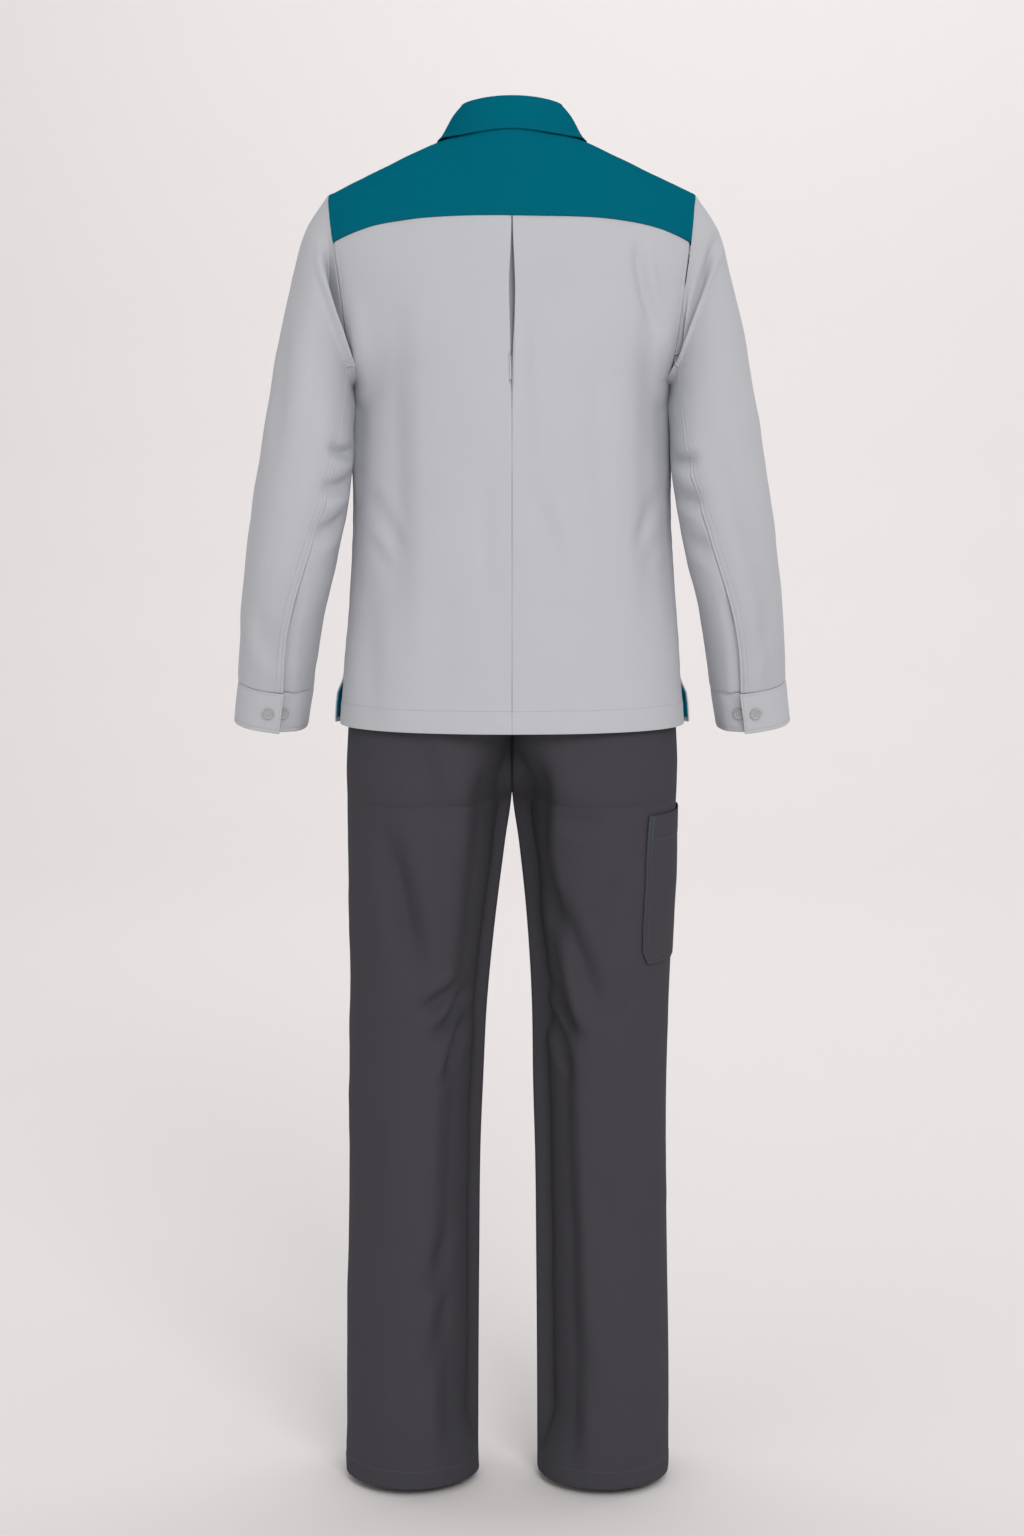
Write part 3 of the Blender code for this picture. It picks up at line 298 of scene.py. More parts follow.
def shoulder_point(share, turn):
    """A point above the armholes' middle. Turn is 0 on the shoulder line, 90 degrees at the back's foot
    and -90 degrees at the front's."""
    side = 1 if turn >= 0 else -1
    width_share, depth, height, roundness = shoulder_shape(side, abs(share))
    cosine, sine = round_part(turn, roundness)
    z = height * cosine - ARMHOLE_MIDDLE
    x = (armhole_x(z) - SEAM / 2) * width_share
    return Vector((math.copysign(x, share), depth * sine, z))


def shoulder_turn(side, share, z):
    _, _, height, roundness = shoulder_shape(side, share)
    up = min(max((z + ARMHOLE_MIDDLE) / height, 0.0), 1.0)
    return side * math.acos(up ** (roundness / 2))


def body_point(side, share, z):
    """A point of the body at a height, on the back or the front."""
    if z > -ARMHOLE_MIDDLE:
        return shoulder_point(share, shoulder_turn(side, abs(share), z))
    depth, reach, edge_angle = body_section(side, z)
    cosine, sine = round_part(mix(math.pi / 2, edge_angle, abs(share)), BODY_SQUARE)
    return Vector((math.copysign(reach * cosine, share), side * depth * sine, z))


def shoulder_place(x, y):
    """Share and turn of the shoulder's surface over a point in plan."""
    side = 1 if y >= 0 else -1
    z = 0.0
    for _ in range(6):
        share = section_share(side, x, z)
        _, depth, height, roundness = shoulder_shape(side, share)
        turn = math.asin(min(abs(y) / depth, 1.0) ** (roundness / 2))
        z = height * round_part(turn, roundness)[0] - ARMHOLE_MIDDLE
    return share, side * turn


def shoulder_height(x, y):
    """The height of the shoulders' cloth over a place in plan."""
    share, turn = shoulder_place(x, y)
    return shoulder_point(share, turn).z


def yoke_seam_z(share):
    return -YOKE_DROP - YOKE_SIDE_DROP * shoulder_shape(1, share)[0] ** 3.6


def neck_plan(angle):
    """The neck seam in plan, from the centre back (0) round to the centre front (180 degrees)."""
    depth = NECK_BACK if math.cos(angle) > 0 else NECK_FRONT
    return NECK_X * math.sin(angle), depth * math.cos(angle)


def neck_outward(angle):
    """The level direction out from the neck seam."""
    x, y = neck_plan(angle)
    depth = NECK_BACK if y > 0 else NECK_FRONT
    return Vector((x / NECK_X ** 2, y / depth ** 2, 0)).normalized()


YOKE_NECK_END = math.acos(-YOKE_FRONT / NECK_FRONT)


def front_seam(amount):
    """Share and turn along the yoke's front seam, from the neck to the armhole."""
    share, turn = shoulder_place(*neck_plan(YOKE_NECK_END))
    edge_turn = -math.asin((YOKE_FRONT / ARMHOLE_DEPTH) ** (ARMHOLE_SQUARE / 2))
    return mix(share, 1.0, amount), mix(turn, edge_turn, amount)


def pleat_gape(z):
    """Half the opening of the pleat, seen from behind."""
    away = (z + PLEAT_GAPE_DROP) / PLEAT_GAPE_REACH
    return SEAM / 2 + PLEAT_GAPE * math.exp(-away * away)


def front_top_turn(share):
    """Turn of the front's top edge: the neckline near the centre, then the yoke's front seam."""
    seam_share, seam_start = front_seam(0.0)
    if share >= seam_share:
        return front_seam((share - seam_share) / (1 - seam_share))[1] - 2 * SEAM_TURN
    across = shoulder_shape(-1, share)[0] / shoulder_shape(-1, seam_share)[0]
    x = NECK_X * math.sin(YOKE_NECK_END) * across
    y = -NECK_FRONT * math.sqrt(1 - (x / NECK_X) ** 2)
    return min(shoulder_place(x, y)[1], seam_start) - 2 * SEAM_TURN


# ---------------------------------------------------------------- the sleeves' and legs' form

def ring_point(row, degrees):
    """A point of a sleeve's or cuff's section. 0 is the outer side and 90 degrees the back."""
    cosine, sine = round_part(math.radians(degrees), row.square)
    middle = Vector(((row.out_x + row.in_x) / 2, row.y, -(row.out_drop + row.in_drop) / 2))
    half = Vector(((row.out_x - row.in_x) / 2, 0, -(row.out_drop - row.in_drop) / 2))
    return middle + half * cosine + Vector((0, row.depth, -row.lean)) * sine


def cuff_lift(turn):
    """How far the outer end stands off at some degrees back from its edge."""
    return CUFF_LIFT * (1 - min(turn, CUFF_LIFT_END) / CUFF_LIFT_END) ** 2


LEG_ARC_POINTS = 24


def leg_outline(side, z):
    """Points of a leg's section in plan, from the outer seam to the inner seam or the centre seam."""
    row = read_table(LEG, -z)
    depth = (row.back if side > 0 else row.front) - SEAM / 2
    middle = max(row.middle, 0.0) if -z > HIP_DROP else 0.0
    points = []
    for angle in steps(LEG_ARC_POINTS, 0, math.pi / 2):
        cosine, sine = round_part(angle, row.square)
        points.append((middle + (row.outer - middle) * cosine, SEAM / 2 + depth * sine))
    if middle > 0:
        fullness = 0.0
        if -z < CROTCH_DROP:
            fullness = (1 - ((-z - HIP_DROP) / (CROTCH_DROP - HIP_DROP)) ** 3) ** 0.6
            width = middle / (1 - fullness ** row.square) ** (1 / row.square)
        else:
            width = middle - row.inner
        last_angle = math.asin(min(fullness, 1.0) ** (row.square / 2))
        for angle in steps(LEG_ARC_POINTS, math.pi / 2, last_angle)[1:]:
            cosine, sine = round_part(angle, row.square)
            points.append((middle - width * cosine, SEAM / 2 + depth * sine))
    return [Vector((max(x, SEAM / 2), y * side, z)) for x, y in points]




# ---------------------------------------------------------------- making cloth

LINE_SPACING = 0.0005    # between the points of a row of stitches before it is cut into stitches
ROLL_WIDTH = 0.0016      # how far in from an edge its roll reaches
ROW_WIDTH = 0.0011       # half the width of the groove that a row of stitches pulls down
ROW_DEPTH = 0.00035
PUCKER_SIZE = 0.011      # of the cloth beside a stitched edge
PUCKER_DEPTH = 0.0005
PUCKER_REACH = 0.016

# A fold is a soft trough between two places of a sheet, in metres. Depth below 0 makes it a ridge. Ridge is
# the height of the cloth pushed up beside it, and bow is how far its middle swings out to that same side.
Fold = namedtuple("Fold", "across drop to_across to_drop width depth ridge bow")
# A seam or hem along an edge: how far the edge rolls in, where its rows of stitches run, how much thicker the
# cloth is inside the last row, and how much of both ends of the edge is left unstitched
Seam = namedtuple("Seam", "edge roll rows_at thicker start end", defaults=((), 0.0, 0.0, 0.0))


def facings(points, outward):
    """Directions square to a sheet of points, on the side that outward points to at the sheet's middle."""
    facing = np.cross(np.gradient(points, axis=1), np.gradient(points, axis=0))
    facing /= np.linalg.norm(facing, axis=2, keepdims=True) + 1e-12
    middle = facing[facing.shape[0] // 2, facing.shape[1] // 2]
    return facing if middle.dot(outward) > 0 else -facing


def fold_depths(folds, across, drop):
    """How deep the folds are over a sheet whose points lie at these places."""
    depth = np.zeros_like(across)
    for fold in folds:
        run = np.array((fold.to_across - fold.across, fold.to_drop - fold.drop))
        length = np.hypot(*run)
        share = ((across - fold.across) * run[0] + (drop - fold.drop) * run[1]) / length ** 2
        side = ((drop - fold.drop) * run[0] - (across - fold.across) * run[1]) / length
        side = side - fold.bow * 4 * share * (1 - share)
        inside = np.clip(np.minimum(share, 1 - share) / 0.4, 0, 1)
        strength = inside * inside * (3 - 2 * inside)
        trough = fold.depth * np.exp(-(side / fold.width) ** 2)
        ridge = fold.ridge * np.exp(-((side - 1.7 * fold.width) / (0.8 * fold.width)) ** 2)
        depth += strength * (trough - ridge)
    return depth


def waves(points, size, depth, seed=0.0):
    """Uneven swells of the cloth, of about this size and at most this depth."""
    offset = Vector((seed, seed * 0.7, seed * 1.3))
    flat = points.reshape(-1, 3)
    heights = [noise.noise(Vector(point) / size + offset) for point in flat]
    return np.array(heights).reshape(points.shape[:2]) * depth


def edge_line(points, edge):
    """The row or column of points along one edge of a sheet."""
    return {"top": points[0], "bottom": points[-1], "left": points[:, 0], "right": points[:, -1]}[edge]


def reaches_along(line):
    """How far along the line each of its points lies."""
    return np.concatenate(([0.0], np.cumsum(np.linalg.norm(np.diff(line, axis=0), axis=1))))


def places_along(line, reach, places):
    """Points at some distances along a line, whose own points lie at these reaches."""
    return np.stack([np.interp(places, reach, line[:, axis]) for axis in range(3)], axis=-1)


def resampled(line, spacing):
    """The line's points set out again at an even spacing."""
    line = np.asarray(line)
    reach = reaches_along(line)
    places = np.linspace(0, reach[-1], max(2, int(round(reach[-1] / spacing)) + 1))
    return places_along(line, reach, places)


def distances(points, line):
    """Each point's distance from a line."""
    line = resampled(line, 0.002)
    start, run = line[:-1], np.diff(line, axis=0)
    squares = (run ** 2).sum(axis=1)
    nearest = np.empty(points.shape[:2])
    for row, place in enumerate(points):
        away = place[:, None, :] - start[None, :, :]
        share = np.clip((away * run).sum(axis=2) / squares, 0, 1)
        nearest[row] = np.linalg.norm(away - share[:, :, None] * run, axis=2).min(axis=1)
    return nearest


def smooth_step(values):
    """The same as ease, for an array."""
    values = np.clip(values, 0, 1)
    return values * values * (3 - 2 * values)


def seam_depths(points, seams):
    """How far each point sinks where an edge is rolled in and stitched down."""
    depth = np.zeros(points.shape[:2])
    for seam in seams:
        away = distances(points, edge_line(points, seam.edge))
        depth += seam.roll * np.exp(-(away / ROLL_WIDTH) ** 2)
        for at in seam.rows_at:
            depth += ROW_DEPTH * np.exp(-((away - at) / ROW_WIDTH) ** 2)
        if seam.rows_at:
            last = seam.rows_at[-1]
            depth -= seam.thicker * (1 - smooth_step((away - last + 0.001) / 0.003))
            puckers = waves(points, PUCKER_SIZE, PUCKER_DEPTH, last * 900)
            depth += puckers * np.exp(-(away / PUCKER_REACH) ** 2)
    return depth


def cut_lengths(points):
    """Each point's distance across and down the cut piece, for the weave."""
    across = np.linalg.norm(np.diff(points, axis=1), axis=2).cumsum(axis=1)
    down = np.linalg.norm(np.diff(points, axis=0), axis=2).cumsum(axis=0)
    across = np.pad(across, ((0, 0), (1, 0)))
    across -= across[:, across.shape[1] // 2, None]
    down = np.pad(down, ((1, 0), (0, 0)))
    return across, down


def add_piece(name, mesh, material, slot, *nodes):
    """A finished piece: its object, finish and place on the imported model."""
    mesh.name = name
    mesh.materials.append(material)
    mesh.shade_smooth()
    piece = bpy.data.objects.new(name, mesh)
    bpy.context.scene.collection.objects.link(piece)
    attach(piece, "root")
    if nodes:
        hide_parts(*nodes)
    return piece


def sheet_mesh(points, outward_at_middle):
    """A mesh through a sheet of points: a grid with every corner put in its place."""
    rows, columns = points.shape[:2]
    bm = bmesh.new()
    bmesh.ops.create_grid(bm, x_segments=columns - 1, y_segments=rows - 1, size=1.0)
    mesh = bpy.data.meshes.new("cloth")
    bm.to_mesh(mesh)
    bm.free()
    flat = np.empty(len(mesh.vertices) * 3)
    mesh.vertices.foreach_get("co", flat)
    flat = flat.reshape(-1, 3)
    column = np.rint((flat[:, 0] + 1) / 2 * (columns - 1)).astype(int)
    row = np.rint((flat[:, 1] + 1) / 2 * (rows - 1)).astype(int)
    mesh.vertices.foreach_set("co", points[row, column].ravel())
    across, down = cut_lengths(points)
    corners = np.empty(len(mesh.loops), dtype=np.int32)
    mesh.loops.foreach_get("vertex_index", corners)
    cut = np.stack([across[row, column][corners], down[row, column][corners]], axis=1)
    mesh.uv_layers.new(name="cut").data.foreach_set("uv", cut.ravel())
    mesh.update()
    centre = Vector(points[rows // 2, columns // 2])
    middle = min(mesh.polygons, key=lambda face: (face.center - centre).length)
    if middle.normal.dot(Vector(outward_at_middle)) < 0:
        mesh.flip_normals()
    return mesh


def wall(piece, thickness, offset):
    """Gives the cloth its thickness: inwards at an offset of -1, and on both sides at 0."""
    shell = piece.modifiers.new("wall", "SOLIDIFY")
    shell.thickness = thickness
    shell.offset = offset
    shell.use_even_offset = False


def shaped(points, outward, depth, seams=()):
    """The sheet's points sunk by the folds' depth, and then by its seams."""
    points = points - facings(points, outward) * depth[:, :, None]
    if seams:
        points = points - facings(points, outward) * seam_depths(points, seams)[:, :, None]
    return points


def side_inset(points):
    """Each point's distance from the nearer side edge of its sheet."""
    return np.minimum(distances(points, points[:, 0]), distances(points, points[:, -1]))


def softened(points):
    """A body sheet with the turn below its armholes eased, away from its side edges."""
    rows = 12
    shares = np.exp(-(np.arange(-rows, rows + 1) / (rows / 2)) ** 2)
    padded = np.pad(points, ((rows, rows), (0, 0), (0, 0)), mode="edge")
    eased = sum(share * padded[row:row + len(points)] for row, share in enumerate(shares / shares.sum()))
    drop = -points[:, :, 2]
    strength = smooth_step((drop - 0.150) / 0.05) * smooth_step((0.420 - drop) / 0.05)
    strength *= smooth_step(side_inset(points) / 0.03)
    moved = points.copy()
    moved[:, :, :2] += (eased - points)[:, :, :2] * strength[:, :, None]
    return moved


def inset_line(points, outward, edge, away, start=0.0, end=0.0):
    """A line on the sheet at a distance from one of its edges, from start to end along it."""
    line = edge_line(points, edge)
    inside = {"top": points[2], "bottom": points[-3], "left": points[:, 2], "right": points[:, -3]}[edge]
    facing = edge_line(facings(points, outward), edge)
    run = np.gradient(line, axis=0)
    run /= np.linalg.norm(run, axis=1, keepdims=True)
    inward = np.cross(facing, run)
    inward[((inside - line) * inward).sum(axis=1) < 0] *= -1
    moved = resampled(line + inward * away, LINE_SPACING)
    first, last = int(round(start / LINE_SPACING)), len(moved) - int(round(end / LINE_SPACING))
    return moved[first:last]


def stitch_rows(points, outward, seams):
    """The lines on the sheet that the seams' rows of stitches follow."""
    return [inset_line(points, outward, seam.edge, away, seam.start, seam.end)
            for seam in seams for away in seam.rows_at]


def mirror_x(points, hand):
    """The points on the wearer's left for a hand of 1, and on the right for -1."""
    return points * np.array((hand, 1.0, 1.0))


def swayed(points):
    """The legs' points moved out of line with the jacket, by more lower down."""
    start, end = LEG_SWAY_DROPS
    moved = points.copy()
    moved[..., 0] += LEG_SWAY * smooth_step((-points[..., 2] - start) / (end - start))
    return moved


def sew(name, sheets, lines, thread):
    """Stitches along lines that lie on the given sheets: one small thread lozenge each."""
    settings = bpy.context.scene.uniform_stitches
    vertices, faces = [], []
    for points in sheets:
        rows, columns = points.shape[:2]
        base = len(vertices)
        vertices += [Vector(point) for point in points.reshape(-1, 3)]
        faces += [tuple(base + place for place in (at, at + 1, at + columns + 1, at + columns))
                  for row in range(rows - 1) for at in range(row * columns, row * columns + columns - 1)]
    tree = BVHTree.FromPolygons(vertices, faces)
    bm = bmesh.new()
    for line in lines:
        if len(line) < 4:
            continue
        ends = resampled(line, settings.pitch)
        for first, second in zip(ends, ends[1:]):
            run = Vector(second - first)
            place, facing, _, _ = tree.find_nearest(Vector((first + second) / 2))
            run -= facing * run.dot(facing)
            if run.length < 1e-6:
                continue
            run.normalize()
            side = run.cross(facing)
            turn = Matrix((run, side, facing)).transposed().to_4x4()
            size = Matrix.Diagonal((settings.pitch * 0.40, settings.thread / 2, settings.thread * 0.45, 1))
            bmesh.ops.create_icosphere(bm, subdivisions=1, radius=1.0,
                                       matrix=Matrix.Translation(place) @ turn @ size)
    bmesh.ops.recalc_face_normals(bm, faces=bm.faces[:])
    mesh = bpy.data.meshes.new(name)
    bm.to_mesh(mesh)
    bm.free()
    return add_piece(name, mesh, finish(thread + "_thread"), THREADS[thread].cloth + "_twill")


# ---------------------------------------------------------------- finishes

Thread = namedtuple("Thread", "cloth share")
# Each thread's colour, as a share of a cloth's, and that cloth
THREADS = {"grey": Thread("grey", 0.62), "teal": Thread("teal", 0.75), "charcoal": Thread("charcoal", 1.6),
           "bartack": Thread("teal", 2.4)}
CLOTH_SHINE = {"grey": 0.08, "teal": 0.0, "charcoal": 0.08}
TWILL_SLANT = math.radians(32)
WAVE_LENGTH = 2 * math.pi / 20      # distance between a wave texture's bands at a scale of 1


def feed(node, inputs):
    """Sets a node's inputs: each to a value, or linked from another node's output."""
    for key, value in inputs.items():
        if isinstance(value, bpy.types.NodeSocket):
            node.id_data.links.new(value, node.inputs[key])
        else:
            node.inputs[key].default_value = value


def add_node(tree, kind, inputs=(), **settings):
    """A shader node with these settings and inputs."""
    node = tree.nodes.new("ShaderNode" + kind)
    for key, value in settings.items():
        setattr(node, key, value)
    feed(node, dict(inputs))
    return node


def new_finish(name, colour, roughness):
    """A finish of one plain colour, with its node tree and its shader."""
    material = bpy.data.materials.new(name)
    material.use_nodes = True
    material.diffuse_color = (*colour, 1.0)
    shader = material.node_tree.nodes["Principled BSDF"]
    feed(shader, {"Roughness": roughness})
    return material, material.node_tree, shader


def clouded(tree, colour, spread, factor):
    """The colour, between darker and lighter by this spread as the factor says."""
    darker, lighter = [(*[min(channel * share, 1) for channel in colour], 1)
                       for share in (1 - spread, 1 + spread)]
    tone = add_node(tree, "Mix", {"A": darker, "B": lighter, "Factor": factor}, data_type="RGBA")
    return tone.outputs["Result"]


def twill(name, colour, rib, mottle, shine):
    """Woven twill: slanted ribs this far apart along the cut, uneven dye, and a light fuzz."""
    material, tree, shader = new_finish(name, colour, 0.86)
    cut = add_node(tree, "UVMap", uv_map="cut").outputs["UV"]
    turned = add_node(tree, "Mapping", {"Vector": cut, "Rotation": (0, 0, TWILL_SLANT)}).outputs["Vector"]
    ribs = add_node(tree, "TexWave", {"Vector": turned, "Scale": WAVE_LENGTH / rib, "Distortion": 0.6,
                                      "Detail": 1.0}, wave_type="BANDS", bands_direction="X",
                    wave_profile="SIN").outputs["Fac"]
    place = add_node(tree, "TexCoord").outputs["Object"]
    yarn = add_node(tree, "TexNoise", {"Vector": place, "Scale": 900.0, "Detail": 3.0}).outputs["Fac"]
    dye = add_node(tree, "TexNoise", {"Vector": place, "Scale": 16.0, "Detail": 5.0}).outputs["Fac"]
    tint = add_node(tree, "Math", {0: ribs, 1: 0.35}, operation="MULTIPLY_ADD").outputs["Value"]
    for pattern, share in ((yarn, 0.40), (dye, 0.55)):
        inputs = {0: pattern, 1: share, 2: tint}
        tint = add_node(tree, "Math", inputs, operation="MULTIPLY_ADD").outputs["Value"]
    tone = clouded(tree, colour, mottle, tint)
    raised = add_node(tree, "Bump", {"Strength": 0.55, "Distance": 0.00018, "Height": ribs}).outputs["Normal"]
    rough = add_node(tree, "Bump", {"Strength": 0.45, "Distance": 0.00030, "Height": yarn, "Normal": raised})
    feed(shader, {"Base Color": tone, "Specular IOR Level": shine, "Normal": rough.outputs["Normal"]})
    return material


def plain(name, colour, roughness, grain, depth):
    """Thread or button plastic: one colour, lightly clouded, with a fine grain."""
    material, tree, shader = new_finish(name, colour, roughness)
    place = add_node(tree, "TexCoord").outputs["Object"]
    cloud = add_node(tree, "TexNoise", {"Scale": grain, "Vector": place}).outputs["Fac"]
    tone = clouded(tree, colour, 0.15, cloud)
    bump = add_node(tree, "Bump", {"Distance": depth, "Strength": 0.4, "Height": cloud})
    feed(shader, {"Base Color": tone, "Normal": bump.outputs["Normal"]})
    return material


def finish(key):
    """The finish of this name, made when it is first asked for."""
    name = key + "_finish"
    if name in bpy.data.materials:
        return bpy.data.materials[name]
    cloth = bpy.context.scene.uniform_cloth
    shade, _, kind = key.partition("_")
    if kind == "twill":
        return twill(name, tuple(getattr(cloth, shade)), cloth.rib, cloth.mottle, CLOTH_SHINE[shade])
    if kind == "thread":
        colour = tuple(channel * THREADS[shade].share for channel in getattr(cloth, THREADS[shade].cloth))
        return plain(name, colour, 0.6, 2500.0, 0.0001)
    return plain(name, tuple(cloth.button), 0.32, 300.0, 0.00005)


# ---------------------------------------------------------------- the sheets of the jacket

NEAR = (0.0006, 0.0014, 0.0024, 0.0036, 0.0046, 0.0056, 0.0066, 0.0080)     # close rows inside an edge
HEM_NEAR = (0.023, 0.026, 0.029)     # and on both sides of the jacket's hem stitches
FACE = {"back": (0, 1, 0), "front": (0, -1, 0), "up": (0, 0, 1)}
SIDE = {1: "left", -1: "right"}      # the wearer's side, by hand
# Rows of stitches, by their distance from the edge
JACKET_HEM = 0.026
YOKE_STITCH = 0.0052
YOKE_FRONT_STITCH = 0.0045
SIDE_STITCH = 0.0062
ARMHOLE_RUN = 0.168      # length of the back's armhole edge, left out of its side stitches
PLACKET_STITCHES = (0.004, 0.028)
COLLAR_STITCH = 0.0048
SLIT_STITCHES = (0.0030, 0.0088)
CUFF_STITCH = 0.0024
CUFF_HEM = 0.0046
TROUSER_HEM = 0.0215
OUTSEAM_STITCH = 0.0030
POCKET_STITCH = 0.0022
POCKET_BAND = 0.0290
TACK_STITCHES = (0.0024, 0.0066)
TACK_LENGTH = 0.0271
YOKE_BACK_PART = 0.66    # share of the neck seam whose columns end on the back seam

# Folds of the back, by x and drop
BACK_FOLDS = (
    Fold(0.136, 0.180, 0.132, 0.560, 0.018, 0.0030, 0.0000, 0.004),
    Fold(0.172, 0.384, 0.122, 0.470, 0.010, 0.0026, 0.0010, 0.000),
    Fold(0.172, 0.440, 0.138, 0.490, 0.008, 0.0018, 0.0008, 0.002),
    Fold(0.164, 0.480, 0.158, 0.680, 0.015, 0.0035, 0.0000, 0.000),
    Fold(-0.142, 0.085, -0.168, 0.232, 0.007, 0.0066, 0.0015, -0.014),
    Fold(-0.172, 0.385, -0.134, 0.472, 0.009, 0.0038, 0.0012, 0.000),
    Fold(-0.170, 0.430, -0.150, 0.495, 0.008, 0.0014, 0.0006, 0.000),
    Fold(-0.090, 0.190, -0.100, 0.470, 0.012, 0.0028, 0.0000, 0.000),
    Fold(-0.010, 0.150, -0.016, 0.420, 0.010, 0.0038, 0.0000, 0.000),
    Fold(-0.012, 0.360, -0.058, 0.510, 0.013, 0.0038, 0.0010, 0.000),
    Fold(0.032, 0.350, 0.026, 0.540, 0.010, 0.0022, 0.0000, 0.000),
    Fold(0.070, 0.450, 0.082, 0.680, 0.020, 0.0022, 0.0000, 0.000),
    Fold(-0.100, 0.470, -0.112, 0.680, 0.020, 0.0022, 0.0000, 0.000),
)
FRONT_FOLDS = (
    Fold(0.120, 0.150, 0.116, 0.400, 0.018, 0.0035, 0.0010, 0.000),
    Fold(0.172, 0.400, 0.118, 0.470, 0.010, 0.0030, 0.0010, 0.000),
    Fold(0.060, 0.420, 0.072, 0.640, 0.020, 0.0015, 0.0000, 0.000),
    Fold(0.140, 0.560, 0.120, 0.650, 0.014, 0.0015, 0.0000, 0.000),
)


def yoke_sheet():
    edge_back = shoulder_turn(1, 1.0, yoke_seam_z(1.0) + SEAM / 2)
    edge_front = front_seam(1.0)[1] + SEAM_TURN

    def place(half, outward):
        neck = shoulder_place(*neck_plan(half * (YOKE_NECK_END - SEAM_TURN)))
        if half <= YOKE_BACK_PART:
            share = half / YOKE_BACK_PART
            edge = share, shoulder_turn(1, share, yoke_seam_z(share) + SEAM / 2)
        else:
            edge = 1.0, mix(edge_back, edge_front, (half - YOKE_BACK_PART) / (1 - YOKE_BACK_PART))
        return shoulder_point(mix(neck[0], edge[0], outward), mix(neck[1], edge[1], outward))

    halves = steps(67, 0.0, YOKE_BACK_PART) + steps(31, YOKE_BACK_PART, 1.0)[1:]
    outwards = spaced(1.0, 0.024, start=(0.01, 0.025), end=tuple(near * 9 for near in NEAR))
    left = np.array([[place(half, outward) for half in halves] for outward in outwards])
    points = np.concatenate((mirror_x(left[:, :0:-1], -1), left), axis=1)
    return points, len(halves) - 67


def make_yoke():
    """Cuts the yoke and its stitches."""
    points, armhole_columns = yoke_sheet()
    armhole = reaches_along(points[-1, :armhole_columns + 1])[-1] + 0.004
    depth = waves(points, 0.060, 0.0012, 3.0) + waves(points, 0.022, 0.0004, 4.0)
    depth += 0.0010 * np.exp(-(distances(points, points[0]) / 0.010) ** 2)
    seams = [Seam("bottom", 0.0004, (YOKE_STITCH,), 0.0004, armhole, armhole)]
    seams += [Seam(edge, 0.0004, (YOKE_FRONT_STITCH,), 0.0003, 0.012, 0.006) for edge in ("left", "right")]
    points = shaped(points, FACE["up"], depth, seams)
    stitches = ("yoke_stitches", [points], stitch_rows(points, FACE["up"], seams), "teal")
    add_cloth("yoke", points, FACE["up"], "teal", [stitches])


PLEAT_SHUT = 0.00006     # half the width of the pleat's line where it is shut
PLEAT_HOLLOW = 2.8       # how deep the open pleat falls in, for each width that it gapes


def back_half_sheet(hand):
    """Rows from the side edge in to the lip of the pleat, then its two hidden turns in to the centre line."""
    fold = 2 * WALL + LAYER
    length = JACKET_DROP - YOKE_DROP
    downs = [down / length for down in spaced(length, 0.0034, start=NEAR[:5], end=NEAR + HEM_NEAR)]
    amounts = spaced(1.0, 0.0165, start=tuple(near * 5 for near in NEAR), end=(0.0015, 0.004, 0.009, 0.016))
    rows = []
    for down in downs:
        drop = mix(YOKE_DROP, JACKET_DROP, down)
        opened = 0.85 * (pleat_gape(-drop) - SEAM / 2)
        gape = PLEAT_SHUT + opened
        hollow = PLEAT_HOLLOW * opened
        lip = section_share(1, gape, -drop)

        def at(share):
            return body_point(1, share, -mix(-yoke_seam_z(share) + SEAM / 2, JACKET_DROP, down))

        def sunk(x, depth):
            point = at(section_share(1, max(x, 1e-6), -drop))
            point.y -= depth
            return point

        row = [at(mix(1.0, lip, amount)) for amount in amounts]
        row[-1].y -= 0.0004
        row += [sunk(gape - 0.0001, WALL * 0.8), sunk(gape, fold)]
        inner, outer, turned = PLEAT_WIDTH / 3, PLEAT_WIDTH * 2 / 3, PLEAT_WIDTH - WALL
        row += [sunk(x, fold) for x in (inner, outer, turned)]
        row += [sunk(x, fold + LAYER + hollow * bowed)
                for x, bowed in ((turned, 0), (outer, 0.1), (inner, 0.6), (gape + 0.001, 1), (0, 1))]
        rows.append(row)
    return mirror_x(np.array(rows), hand), len(amounts)


